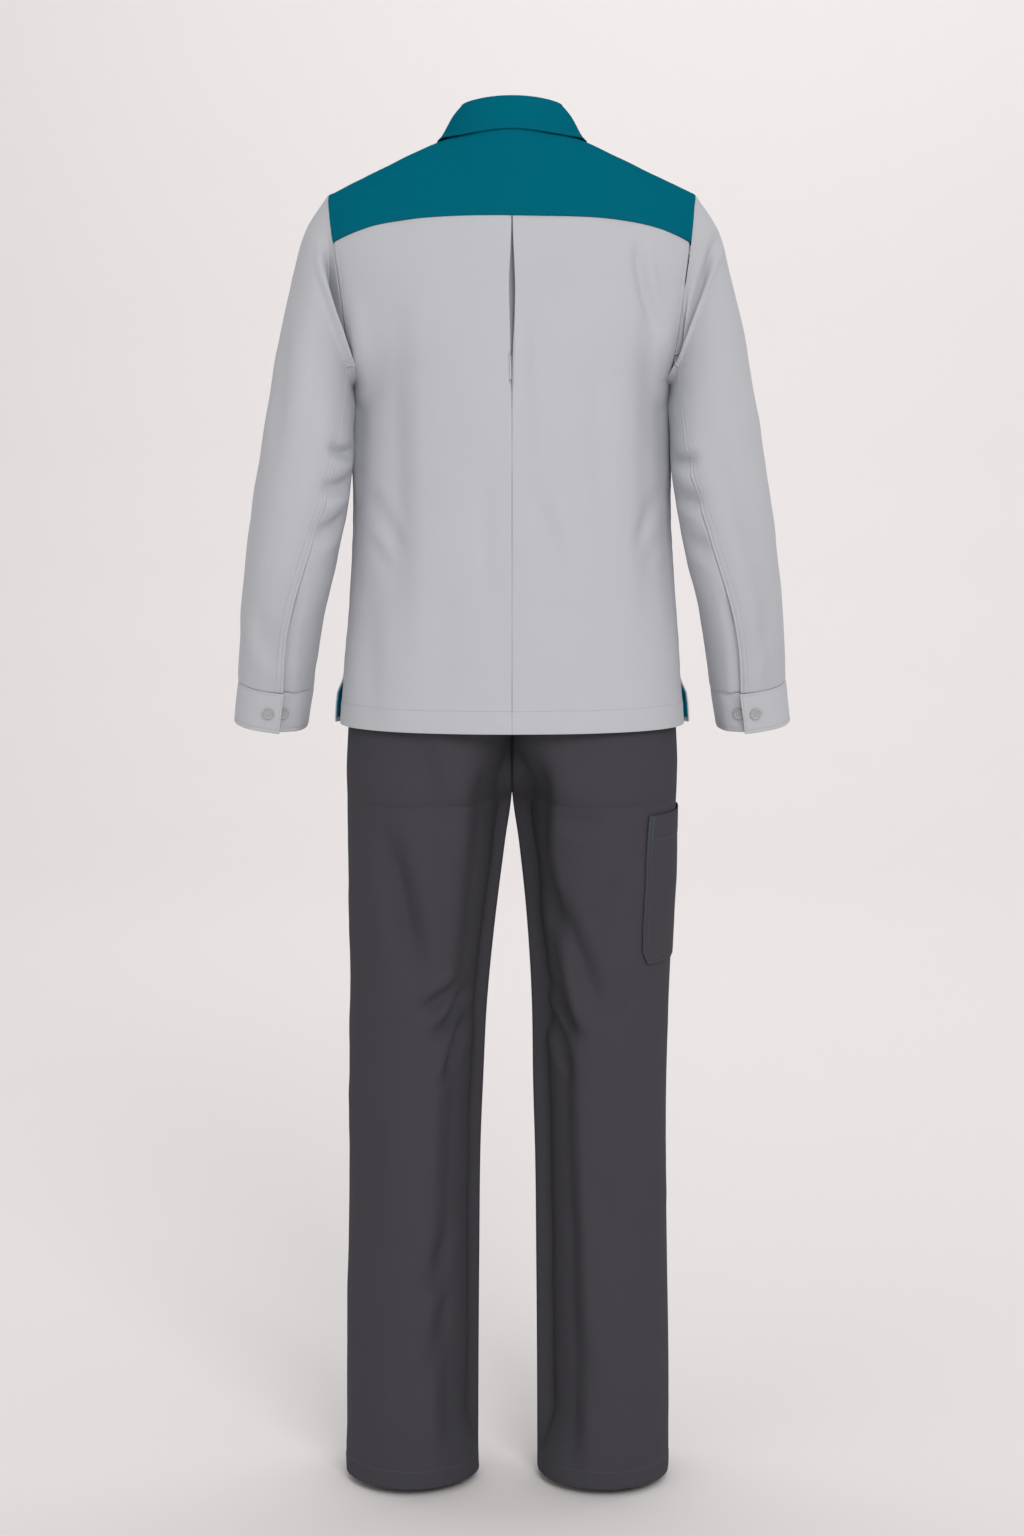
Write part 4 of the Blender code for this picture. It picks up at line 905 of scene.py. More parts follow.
def make_back():
    """Cuts the back panel with its pleat folded in."""
    left, shown = back_half_sheet(1)
    right, _ = back_half_sheet(-1)
    points = softened(np.concatenate((left, right[:, -2::-1]), axis=1))
    across, drop = points[:, :, 0], -points[:, :, 2]
    inset = side_inset(points)
    set_back = 0.0050 * smooth_step((across - 0.098) / 0.036) * smooth_step((0.64 - drop) / 0.16)
    set_back += 0.0060 * smooth_step((-across - 0.128) / 0.030) * smooth_step((0.60 - drop) / 0.16)
    fuller = 0.0026 * smooth_step((0.585 - drop) / 0.10) + 0.0042 * smooth_step((0.435 - drop) / 0.07)
    fuller *= np.exp(-((inset - 0.020) / 0.014) ** 2)
    depth = fold_depths(BACK_FOLDS, across, drop)
    depth += (set_back * smooth_step(inset / 0.024) - fuller) * smooth_step((drop - 0.15) / 0.09)
    depth *= smooth_step((drop - YOKE_DROP - 0.004) / 0.05)
    depth += waves(points * (1, 0.2, 1), 0.070, 0.0016, 1.0) + waves(points * (1, 0.2, 1), 0.028, 0.0005, 2.0)
    towards = facings(points, FACE["back"])
    hidden = slice(shown, points.shape[1] - shown)
    towards[:, hidden] = (0, 1, 0)
    points = points - towards * depth[:, :, None]
    side_run = JACKET_DROP - YOKE_DROP - ARMHOLE_RUN
    seams = [Seam(edge, 0.0007, (SIDE_STITCH,), 0.0002, 0.004, side_run) for edge in ("left", "right")]
    edges = seam_depths(points, seams)
    top, hem = distances(points, points[0]), distances(points, points[-1])
    edges += 0.0010 * np.exp(-(top / 0.0030) ** 2)
    edges += 0.0004 * np.exp(-(hem / ROLL_WIDTH) ** 2) + 0.0004 * np.exp(-((hem - JACKET_HEM) / 0.0013) ** 2)
    edges -= 0.0005 * (1 - smooth_step((hem - JACKET_HEM + 0.001) / 0.003))
    edges += waves(points, 0.016, 0.0006, 7.0) * np.exp(-((hem - JACKET_HEM + 0.002) / 0.014) ** 2)
    edges[:, hidden] = edges[:, shown - 1, None]
    points = points - towards * edges[:, :, None]
    halves = [points[:, :shown], points[:, -shown:]]
    lines = []
    for half, seam in zip(halves, seams):
        lines += stitch_rows(half, FACE["back"], (seam, Seam("bottom", 0.0, (JACKET_HEM,))))
    stitches = ("back_panel_stitches", halves, lines, "grey")
    add_cloth("back_panel", points, FACE["back"], "grey", [stitches])


def add_cloth(node, points, outward, cloth, stitched=(), thickness=WALL, offset=-1.0,
              mesh=None):
    """One cut piece: its cloth and its stitches. An entry of stitched is the name of
    a piece of stitches, the sheets that they lie on, their lines and their thread."""
    slot = cloth + "_twill"
    piece = add_piece(node + "_cloth", mesh or sheet_mesh(points, outward), finish(slot), slot, node)
    wall(piece, thickness, offset)
    [sew(*entry) for entry in stitched]




def front_sheet(hand):
    """Rows of a front, from its lapped edge out to the side. The right one sinks under the left one."""
    length = JACKET_DROP - ARMHOLE_MIDDLE
    lower = [ARMHOLE_MIDDLE + down for down in spaced(length, 0.0045, end=NEAR + HEM_NEAR)]
    amounts = spaced(1.0, 0.036, start=tuple(near * 9 for near in NEAR[:6]))
    starts = (-PLACKET,) + tuple(near - PLACKET for near in NEAR)
    upper_rows = [(ARMHOLE_MIDDLE, amount) for amount in amounts[:-1]]
    rows = []
    for drop, amount in upper_rows + [(drop, None) for drop in lower]:
        lap = [math.copysign(section_share(-1, x, -drop), x) for x in starts]
        lap += [math.copysign(section_share(-1, x, -drop), x) for x in (-0.004, 0.0008, 0.005, 0.010)]
        rest = spaced(1.0, 0.022, start=(0.006, 0.012, 0.020), end=tuple(near * 5 for near in NEAR))[1:]
        shares = lap + [mix(lap[-1], 1.0, place) for place in rest]
        if amount is not None:
            turns = [mix(front_top_turn(abs(share)), -math.pi / 2, amount) for share in shares]
            row = [shoulder_point(share, turn) for share, turn in zip(shares, turns)]
        else:
            row = [body_point(-1, share, -drop) for share in shares]
            flare = VENT_GAPE * VENT_FLARE * ease((drop - VENT_DROP) / 0.025)
            for point, share in zip(row, shares):
                point.x += flare * ease((share - 0.965) / 0.035)
        rows.append(row)
    points = softened(np.array(rows))
    if hand < 0:
        under = 1 - smooth_step((points[:, :, 0] - PLACKET - 0.002) / 0.012)
        points = points - facings(points, FACE["front"]) * (under * (WALL + 2 * LAYER))[:, :, None]
    return points


def make_front(hand):
    """Cuts one front and the facing of its side vent."""
    side = SIDE[hand]
    points = front_sheet(hand)
    across, drop = points[:, :, 0], -points[:, :, 2]
    away = smooth_step((across - 0.020) / 0.02)
    depth = fold_depths(FRONT_FOLDS, across, drop) * away
    depth += waves(points, 0.070, 0.0014, 11.0 + 3 * hand) * away
    points = shaped(points, FACE["front"], depth, (
        Seam("left", 0.0003, PLACKET_STITCHES[:1] if hand > 0 else (), 0.0002), Seam("right", 0.0006),
        Seam("bottom", 0.0004, (JACKET_HEM,), 0.0005), Seam("top", 0.0007)))
    sewn = [Seam("bottom", 0.0, (JACKET_HEM,), 0.0, 0.002, 0.006)]
    if hand > 0:
        sewn.append(Seam("left", 0.0, PLACKET_STITCHES, 0.0, 0.008, 0.004))
    sewn.append(Seam("right", 0.0, (SIDE_STITCH,), 0.0, 0.004, JACKET_DROP - ARMPIT_DROP))
    lines = [mirror_x(line, hand) for line in stitch_rows(points, FACE["front"], sewn)]
    points = mirror_x(points, hand)
    stitches = (f"front_{side}_stitches", [points], lines, "grey")
    add_cloth(f"front_{side}", points, FACE["front"], "grey", [stitches])
    top, foot = FACING_DROPS
    rows = (-points[:, -1, 2] >= top) & (-points[:, -1, 2] <= foot)
    strip = points[rows][:, -FACING_COLUMNS:]
    outward = (0.4 * hand, -1, 0)
    strip = strip - facings(strip, outward) * (WALL + LAYER)
    add_cloth(f"vent_facing_{side}", strip, outward, "teal")


# ---------------------------------------------------------------- collar

def collar_sheet():
    """The middle of the collar's cloth: up from the neck seam, over the fold and down to the leaf's edge."""
    roll, stand_in, clear = 0.0016, 0.0013, 0.0017
    fold_x, fold_back, fold_front = 0.0545, 0.0560, 0.0580

    def path(angle):
        hand = math.copysign(1, angle)
        x, y = neck_plan(abs(angle))
        outward = neck_outward(abs(angle))
        foot = Vector((x, y, shoulder_height(x, y) + 2 * SEAM)) - outward * stand_in
        back, front = max(math.cos(angle), 0.0), max(-math.cos(angle), 0.0)
        fold = Vector((fold_x * math.sin(abs(angle)), (fold_back if y > 0 else fold_front) * math.cos(angle),
                       mix(mix(0.0310, 0.0360, back ** 2), -0.0240, front ** 1.5)))
        centre = fold - Vector((0, 0, roll + COLLAR_WALL / 2))
        turned = ease((abs(angle) - math.pi / 2) / (COLLAR_END - math.pi / 2))
        edge_angle = abs(angle) * COLLAR_POINT / COLLAR_END
        edge_x, edge_y = neck_plan(edge_angle)
        edge = Vector((edge_x, edge_y, 0)) + neck_outward(edge_angle) * mix(0.0080, 0.0340, turned)
        edge.z = shoulder_height(edge.x, edge.y) + clear
        stand_top, leaf_top = centre - outward * roll, centre + outward * roll
        points = [foot.lerp(stand_top, amount) for amount in steps(8)]
        for turn in steps(9, 0, math.pi)[1:-1]:
            points.append(centre - outward * roll * math.cos(turn) + Vector((0, 0, roll * math.sin(turn))))
        for amount in spaced(1.0, 0.05, start=(0.02,), end=tuple(near * 20 for near in NEAR)):
            point = leaf_top.lerp(edge, amount) + outward * 0.004 * math.sin(math.pi * amount) * (1 - amount)
            if amount > 0:
                point.z = max(point.z, shoulder_height(point.x, point.y) + clear)
            points.append(point)
        return [(point.x * hand, point.y, point.z) for point in points]

    return np.array([path(angle if angle else 1e-9) for angle in steps(141, -COLLAR_END, COLLAR_END)])


def make_collar():
    """Cuts the collar, folded down."""
    points = collar_sheet().transpose(1, 0, 2)
    outward = FACE["back"]
    seams = [Seam("bottom", -0.0002, (COLLAR_STITCH,), 0.0, 0.003, 0.003)]
    ends = [Seam("left", -0.0002), Seam("right", -0.0002)]
    leaf = slice(18, None)
    points[leaf] = shaped(points[leaf], outward, np.zeros(points[leaf].shape[:2]), seams + ends)
    face = points[leaf] + facings(points[leaf], outward) * (COLLAR_WALL / 2)
    stitches = ("collar_stitches", [face], stitch_rows(face, outward, seams), "teal")
    add_cloth("collar", points, outward, "teal", [stitches], COLLAR_WALL, 0.0)


# ---------------------------------------------------------------- sleeves and cuffs

SLEEVE_LENGTH = 0.56
SLEEVE_BEND = 0.06       # share of the sleeve beside the armhole whose rows are closer
SEAM_TURN_GAP = 0.28     # degrees left between the two sleeve pieces at each seam
SLIT_LAP = 9.0           # degrees that the under sleeve reaches in under the upper one at the opening
SLIT_SINK = WALL + LAYER + 0.0018
# Folds of a sleeve, by degrees round it divided by 1000 and by distance down it from the shoulder's tip
SLEEVE_FOLDS = {
    1: (
        Fold(0.046, 0.019, 0.228, 0.003, 0.0115, 0.0380, 0.0000, 0.000),
        Fold(0.045, 0.046, 0.198, 0.024, 0.0120, -0.0110, 0.0000, 0.000),
        Fold(0.182, -0.080, 0.182, 0.260, 0.0150, -0.0032, 0.0000, 0.000),
        Fold(0.110, 0.275, 0.182, 0.262, 0.0090, 0.0095, 0.0025, 0.003),
        Fold(0.106, 0.318, 0.182, 0.300, 0.0090, 0.0100, 0.0025, 0.003),
        Fold(0.106, 0.364, 0.182, 0.338, 0.0100, 0.0080, 0.0020, 0.003),
        Fold(0.050, 0.430, 0.100, 0.520, 0.0140, 0.0026, 0.0010, 0.000),
        Fold(0.030, 0.150, 0.060, 0.330, 0.0160, 0.0025, 0.0005, 0.000),
        Fold(-0.120, 0.300, -0.070, 0.330, 0.0110, 0.0035, 0.0015, 0.000),
        Fold(-0.115, 0.350, -0.060, 0.370, 0.0110, 0.0030, 0.0015, 0.000),
        Fold(-0.068, 0.022, -0.200, 0.018, 0.0130, 0.0120, 0.0030, 0.000),
    ),
    -1: (
        Fold(0.005, 0.072, 0.168, 0.010, 0.0095, 0.0100, 0.0030, 0.000),
        Fold(0.088, 0.010, 0.190, 0.006, 0.0070, 0.0200, 0.0000, 0.000),
        Fold(0.105, 0.030, 0.190, 0.020, 0.0100, -0.0070, 0.0000, 0.000),
        Fold(0.182, -0.080, 0.182, 0.260, 0.0150, -0.0032, 0.0000, 0.000),
        Fold(0.110, 0.290, 0.180, 0.266, 0.0090, 0.0085, 0.0025, 0.003),
        Fold(0.110, 0.330, 0.180, 0.310, 0.0090, 0.0080, 0.0025, 0.003),
        Fold(0.108, 0.375, 0.174, 0.354, 0.0100, 0.0045, 0.0020, 0.003),
        Fold(0.050, 0.420, 0.095, 0.520, 0.0140, 0.0022, 0.0008, 0.000),
        Fold(-0.120, 0.290, -0.070, 0.320, 0.0110, 0.0035, 0.0015, 0.000),
        Fold(-0.115, 0.350, -0.060, 0.360, 0.0110, 0.0030, 0.0015, 0.000),
        Fold(-0.068, 0.022, -0.200, 0.018, 0.0130, 0.0110, 0.0030, 0.000),
    ),
}


def sleeve_sheet(downs, degrees_at, sinks_at, hand):
    """Rows of a sleeve piece from the armhole to the cuff. Sinks are how far its columns lie under others."""
    points, places, sinks = [], [], []
    for down in downs:
        step = down * 10
        row = read_table(SLEEVE, step)
        degrees = degrees_at(step)
        points.append([ring_point(row, turn) for turn in degrees])
        if down == 0:
            for point in points[-1]:
                point.x += SEAM / 2
        places.append([(turn / 1000, down * SLEEVE_LENGTH) for turn in degrees])
        sinks.append(sinks_at(step, degrees))
    points, places = np.array(points), np.array(places)
    half = len(points) // 2
    outward = facings(points, points[half, points.shape[1] // 2] - points[half].mean(axis=0))
    depth = fold_depths(SLEEVE_FOLDS[hand], places[:, :, 0], places[:, :, 1])
    down = np.array(downs)[:, None]
    depth *= smooth_step(down / 0.007) * smooth_step((1 - down) / 0.12)
    depth += waves(points, 0.050, 0.0014, 31.0 + hand) + waves(points, 0.020, 0.0004, 35.0 + hand)
    return points - outward * (depth + np.array(sinks))[:, :, None]


def make_sleeve(hand):
    """Cuts the two pieces of one sleeve."""
    side = SIDE[hand]
    ends = [tuple(near * share for near in NEAR) for share in (1.05, 1.8, 4.4, 9)]
    downs = spaced(SLEEVE_BEND, 0.0034, start=ends[1][:6])
    downs += [SLEEVE_BEND + down for down in spaced(1 - SLEEVE_BEND, 0.0062, end=ends[1])[1:]]

    def upper_degrees(step):
        seam = read_table(SLEEVE_SEAMS, step)
        first, last = seam.front + SEAM_TURN_GAP, seam.back - SEAM_TURN_GAP
        shares = spaced(1.0, 0.0135, start=ends[0][:5], end=ends[2] + (0.043, 0.047, 0.051))
        return [mix(first, last, share) for share in shares]

    def under_degrees(step):
        seam = read_table(SLEEVE_SEAMS, step)
        under = SLIT_LAP * ease((step - SLIT_STEP) / 0.9)
        first, last = seam.back + SEAM_TURN_GAP - under, 360 + seam.front - SEAM_TURN_GAP
        return [mix(first, last, share) for share in spaced(1.0, 0.028, start=ends[3][:6])]

    def under_sinks(step, degrees):
        seam = read_table(SLEEVE_SEAMS, step)
        sink = SLIT_SINK * ease((step - SLIT_STEP + 0.6) / 0.6)
        return [sink * (1 - ease((turn - seam.back - 3) / 16)) for turn in degrees]

    def level(step, degrees):
        return [0.0] * len(degrees)

    upper_seams = (Seam("right", -0.0005, SLIT_STITCHES, 0.0003, 0.004, 0.002),
                   Seam("left", 0.0005), Seam("top", 0.0002), Seam("bottom", 0.0006))
    under_seams = (Seam("left", 0.0017), Seam("right", 0.0005), Seam("bottom", 0.0006))
    for key, facing, degrees, sinks, seams in (("upper", 1, upper_degrees, level, upper_seams),
                                               ("under", -1, under_degrees, under_sinks, under_seams)):
        points = sleeve_sheet(downs, degrees, sinks, hand)
        outward = (facing, 0, 0)
        points = shaped(points, outward, np.zeros(points.shape[:2]), seams)
        lines = [mirror_x(line, hand) for line in stitch_rows(points, outward, seams)]
        points = mirror_x(points, hand)
        stitches = [(f"sleeve_{side}_stitches", [points], lines, "grey")] if lines else []
        add_cloth(f"sleeve_{key}_{side}", points, (facing * hand, 0, 0), "grey",
                  stitches)


# Degrees back from the cuff's outer end: where its lift stops, where the inner end starts to sink under it
# and has sunk, and where it ends
CUFF_LIFT_END, CUFF_SINK_START, CUFF_SINK_END, CUFF_INNER_END = 30, 322, 348, 406


def cuff_turns():
    """Degrees back from the outer end's edge, and how far each place is sunk, round to the inner end."""
    sunk = CUFF_WALL + LAYER
    span = CUFF_SINK_END - CUFF_SINK_START
    lifted = (0, 0.8, 1.8, 3, 4.5, 6, 8, 10, 13, 16, 20, 25, CUFF_LIFT_END)
    turns = [(turn, -cuff_lift(turn)) for turn in lifted]
    turns += [(turn, 0.0) for turn in steps(74, CUFF_LIFT_END, CUFF_SINK_START)[1:]]
    turns += [(turn, sunk * ease((turn - CUFF_SINK_START) / span))
              for turn in steps(9, CUFF_SINK_START, CUFF_SINK_END)[1:]]
    return turns + [(turn, sunk) for turn in steps(16, CUFF_SINK_END, CUFF_INNER_END)[1:]]


def make_cuff(hand):
    """Wraps one cuff, its ends lapped."""
    side = SIDE[hand]
    columns = cuff_turns()
    ends = tuple(near * 19 for near in NEAR)
    sections = [read_table(CUFF, down) for down in spaced(1.0, 0.05, start=ends, end=ends)]
    points = np.array([[ring_point(row, CUFF_EDGE - turn) for turn, _ in columns] for row in sections])
    depth = np.array([sink for _, sink in columns])[None, :] + waves(points, 0.022, 0.0006, 41.0 + hand)
    outward = (-1, 0, 0)
    seams = (Seam("top", 0.0005, (CUFF_STITCH,), 0.0, 0.001, 0.045),
             Seam("bottom", 0.0003, (CUFF_HEM,), 0.0, 0.001, 0.045),
             Seam("left", 0.0003, (CUFF_STITCH,), 0.0, 0.003, 0.003))
    points = shaped(points, outward, depth, seams)
    lines = [mirror_x(line, hand) for line in stitch_rows(points, outward, seams)]
    points = mirror_x(points, hand)
    button, _ = node_place(f"cuff_button_{side}_1")
    for height in (-0.0005, 0.0005):     # the two sides of the buttonhole, out from under the button
        hole = [button + Vector((hand * away, 0, height)) for away in np.linspace(0.0062, 0.0105, 9)]
        lines.append(np.array(hole))
    stitches = (f"cuff_{side}_stitches", [points], lines, "grey")
    add_cloth(f"cuff_{side}", points, (-hand, 0, 0), "grey",
              [stitches], CUFF_WALL)


# ---------------------------------------------------------------- trousers

# The hollow beside the centre-back seam: drops, and the share of the depth that it takes away there
SEAT_VALLEY = ((0.560, 0.640, 0.690, 0.740, 0.820, 0.920), (0.16, 0.42, 0.62, 0.55, 0.26, 0.0))
# The inner third of each leg that hangs back: its depth by side and hand, and its edge's x at these drops
INNER_DEPTH = {(1, 1): 0.0130, (1, -1): 0.0190, (-1, 1): 0.0090, (-1, -1): 0.0090}
INNER_DROPS = (0.60, 0.70, 0.80, 0.90, 1.00, 1.10, 1.30, 1.55)
INNER_EDGES = {1: (0.052, 0.050, 0.058, 0.066, 0.076, 0.084, 0.092, 0.088),
               -1: (0.056, 0.050, 0.050, 0.064, 0.079, 0.084, 0.093, 0.097)}
KNEE_DROP = 0.66         # rows are closer below it
# Folds of the legs, by the distance out from the centre line and the drop
LEG_FOLDS = {
    ("back", 1): (
        Fold(0.156, 0.740, 0.100, 0.975, 0.017, 0.0140, 0.0040, 0.004),
        Fold(0.112, 0.650, 0.066, 0.800, 0.016, 0.0070, 0.0020, 0.000),
        Fold(0.112, 0.986, 0.040, 0.944, 0.0095, 0.0105, 0.0035, -0.003),
        Fold(0.094, 1.024, 0.024, 0.950, 0.0095, 0.0115, 0.0035, -0.003),
        Fold(0.080, 1.082, 0.024, 0.970, 0.0085, 0.0090, 0.0030, -0.002),
        Fold(0.060, 1.230, 0.104, 1.350, 0.013, 0.0055, 0.0015, 0.000),
        Fold(0.060, 1.300, 0.100, 1.440, 0.012, 0.0040, 0.0010, 0.000),
        Fold(0.160, 1.060, 0.150, 1.330, 0.016, 0.0030, 0.0010, 0.000),
    ),
    ("back", -1): (
        Fold(0.018, 0.810, 0.112, 1.010, 0.015, 0.0125, 0.0040, -0.004),
        Fold(0.018, 0.948, 0.092, 1.028, 0.0100, 0.0110, 0.0035, 0.000),
        Fold(0.018, 0.972, 0.074, 1.078, 0.0095, 0.0085, 0.0025, 0.000),
        Fold(0.046, 0.770, 0.112, 0.758, 0.012, 0.0045, 0.0010, 0.000),
        Fold(0.086, 0.896, 0.130, 0.814, 0.010, 0.0045, 0.0015, 0.000),
        Fold(0.112, 1.006, 0.146, 0.952, 0.009, 0.0040, 0.0010, 0.000),
        Fold(0.105, 1.160, 0.118, 1.260, 0.015, 0.0034, 0.0010, 0.000),
        Fold(0.080, 1.330, 0.096, 1.480, 0.014, 0.0040, 0.0010, 0.000),
    ),
    ("front", 1): (
        Fold(0.020, 0.700, 0.105, 0.640, 0.012, 0.0050, 0.0020, 0.004),
        Fold(0.030, 0.560, 0.046, 0.960, 0.020, 0.0090, 0.0000, 0.000),
        Fold(0.130, 0.950, 0.050, 0.985, 0.012, 0.0050, 0.0020, 0.003),
        Fold(0.135, 1.020, 0.060, 1.045, 0.012, 0.0040, 0.0020, 0.003),
        Fold(0.064, 0.900, 0.050, 1.800, 0.018, 0.0080, 0.0010, 0.000),
    ),
    ("front", -1): (
        Fold(0.020, 0.710, 0.100, 0.650, 0.012, 0.0050, 0.0020, 0.004),
        Fold(0.030, 0.560, 0.044, 0.940, 0.020, 0.0090, 0.0000, 0.000),
        Fold(0.128, 0.945, 0.052, 0.980, 0.012, 0.0050, 0.0020, 0.003),
        Fold(0.125, 1.030, 0.055, 1.055, 0.012, 0.0040, 0.0020, 0.003),
        Fold(0.062, 0.900, 0.052, 1.800, 0.018, 0.0080, 0.0010, 0.000),
    ),
}


def inner_hollow(across, drop, side, hand):
    """How far a leg hangs back from its inner third, where the cloth falls in behind the knee."""
    edge = np.interp(drop, INNER_DROPS, INNER_EDGES[hand])
    span = smooth_step((drop - 0.675) / 0.06) * smooth_step((1.545 - drop) / 0.08)
    return INNER_DEPTH[side, hand] * smooth_step((edge - across) / 0.030) * span


def leg_row(side, drop, shares):
    """Points of a leg's section at shares of the way round from the outer seam to the inner one."""
    outline = np.array(leg_outline(side, -drop))
    reach = reaches_along(outline)
    return places_along(outline, reach, np.array(shares) * reach[-1])


def leg_folded(points, side, hand, inset):
    """How far the leg's folds sink its points, each this far in from the nearest seam."""
    depth = fold_depths(LEG_FOLDS["back" if side > 0 else "front", hand], points[:, :, 0], -points[:, :, 2])
    depth += inner_hollow(points[:, :, 0], -points[:, :, 2], side, hand)
    depth += waves(points, 0.075, 0.0022, 51.0 + 2 * hand + side)
    depth += waves(points, 0.026, 0.0005, 57.0 + hand + side)
    return depth * smooth_step(inset / 0.013)


def seat_hollowed(points):
    """The legs' points drawn in beside the seam at the seat, and a little under the jacket's hem."""
    drop = -points[:, :, 2]
    valley = np.interp(drop, *SEAT_VALLEY) * np.exp(-points[:, :, 0] / 0.022)
    under_hem = 0.07 * smooth_step((drop - 0.600) / 0.04) * smooth_step((0.740 - drop) / 0.06)
    hollowed = points.copy()
    hollowed[:, :, 1] *= (1 - valley) * (1 - under_hem)
    return hollowed


def make_leg(hand, side):
    """Cuts one leg piece: side is 1 for its back and -1 for its front."""
    ends = tuple(near * 3.6 for near in NEAR)
    shares = spaced(1.0, 0.0145, start=ends, end=ends)
    hem = NEAR[:4] + (0.0175, 0.0195, TROUSER_HEM, 0.0235, 0.0255)
    drops = [WAIST_DROP + down for down in spaced(KNEE_DROP - WAIST_DROP, 0.012)]
    drops += [KNEE_DROP + down for down in spaced(TROUSER_DROP - KNEE_DROP, 0.0048, end=hem)[1:]]
    points = seat_hollowed(np.array([leg_row(side, drop, shares) for drop in drops]))
    outward = (0, side, 0)
    seams = [Seam("left", 0.0006), Seam("right", 0.0016),
             Seam("bottom", 0.0003, (TROUSER_HEM,), 0.0005, 0.001, 0.001)]
    inset = side_inset(points)
    straight = points[:, :, 0].copy()
    points = shaped(points, outward, leg_folded(points, side, hand, inset), seams)
    straight[:, -1] = np.where(points[:, -1, 2] > -CROTCH_DROP, 0.0, straight[:, -1])
    points[:, :, 0] = mix(straight, points[:, :, 0], smooth_step(inset / 0.006))
    if side < 0:
        seams.append(Seam("left", 0.0, (OUTSEAM_STITCH,), 0.0, 0.19, 0.002))
    lines = [swayed(mirror_x(line, hand)) for line in stitch_rows(points, outward, seams)]
    points = swayed(mirror_x(points, hand))
    name = f"leg_{'back' if side > 0 else 'front'}_{SIDE[hand]}"
    stitches = (name + "_stitches", [points], lines, "charcoal")
    add_cloth(name, points, outward, "charcoal", [stitches])


def make_waistband():
    """Closes the waistband round the top of the legs."""
    back, front = [leg_row(side, WAIST_DROP, steps(60)) for side in (1, -1)]
    left = np.concatenate((back[::-1], front[1:]))
    whole = np.concatenate((left, mirror_x(left[::-1], -1)[1:]))
    rows = []
    for height in spaced(WAISTBAND - SEAM, 0.0045):
        row = whole.copy()
        row[:, 2] = -WAIST_DROP + SEAM + height
        inside = 0.0003 + 0.0006 * (1 + np.sin(np.arange(len(row)) * 1.9)) * ease(height / 0.006)
        row[:, :2] *= 1 - inside[:, None] / np.linalg.norm(row[:, :2], axis=1, keepdims=True)
        rows.append(row)
    points = np.array(rows)
    points[:, -1] = points[:, 0]
    mesh = sheet_mesh(points, FACE["back"])
    bm = bmesh.new()
    bm.from_mesh(mesh)
    bmesh.ops.remove_doubles(bm, verts=bm.verts[:], dist=0.0001)
    bmesh.ops.recalc_face_normals(bm, faces=bm.faces[:])
    bm.to_mesh(mesh)
    bm.free()
    back_middle = Vector((0, 0.11, WAISTBAND / 2 - WAIST_DROP))
    face = min(mesh.polygons, key=lambda polygon: (polygon.center - back_middle).length)
    if face.normal.y < 0:
        mesh.flip_normals()
    add_cloth("waistband", points, FACE["back"], "charcoal", mesh=mesh)


def pocket_sheet():
    """The pocket's outer face, made from the leg's own points moved out."""
    corner_width, corner_height = POCKET_CORNER
    height = POCKET_DROP - POCKET_TOP_DROP
    reaches = np.array(spaced(POCKET_BACK + POCKET_FRONT, 0.0035, start=NEAR, end=NEAR)) - POCKET_FRONT
    downs = spaced(height, 0.004, start=NEAR[:4] + (0.026, 0.028, 0.030, 0.032), end=NEAR)
    points = np.empty((len(downs), len(reaches), 3))
    for row, down in enumerate(downs):
        taper = 1 - POCKET_TAPER / POCKET_BACK * down / downs[-1]
        for column, reach in enumerate(reaches):
            end = min(reach + POCKET_FRONT, POCKET_BACK - reach)
            lift = corner_height * max(1 - end / corner_width, 0.0)
            drop = POCKET_TOP_DROP + down * (1 - lift / height)
            outline = np.array(leg_outline(1 if reach >= 0 else -1, -drop))
            points[row, column] = places_along(outline, reaches_along(outline), abs(reach) * taper)
    inset = np.abs(reaches)[None, :]
    back, front = [leg_folded(points, side, -1, inset) for side in (1, -1)]
    depth = np.where(reaches >= 0, back, front)
    return points - facings(points, (1, 0, 0)) * (depth - WALL - POCKET_CLEAR)[:, :, None]


def make_pocket():
    """Cuts the pocket and sews it on."""
    outward = (1, 0, 0)
    seams = [Seam(edge, 0.0002, (POCKET_STITCH,), 0.0, 0.001, 0.001) for edge in ("left", "right", "bottom")]
    seams.append(Seam("top", 0.0, (POCKET_BAND,), 0.0004, 0.001, 0.001))
    points = pocket_sheet()
    points = shaped(points, outward, np.zeros(points.shape[:2]), seams)
    second_row = Seam("right", 0.0, (0.0072,), 0.0, 0.001, 0.001)
    lines = stitch_rows(points, outward, seams + [second_row])
    tacks = stitch_rows(points, outward, [Seam("right", 0.0, TACK_STITCHES, 0.0, 0.001, 0.001)])
    tacks = [line[:int(TACK_LENGTH / LINE_SPACING)] for line in tacks]
    points = swayed(mirror_x(points, -1))
    lines, tacks = [[swayed(mirror_x(line, -1)) for line in group] for group in (lines, tacks)]
    stitches = [("leg_pocket_stitches", [points], lines, "charcoal"),
                ("leg_pocket_tacks", [points], tacks, "bartack")]
    add_cloth("leg_pocket", points, (-1, 0, 0), "charcoal",
              stitches)


# ---------------------------------------------------------------- buttons

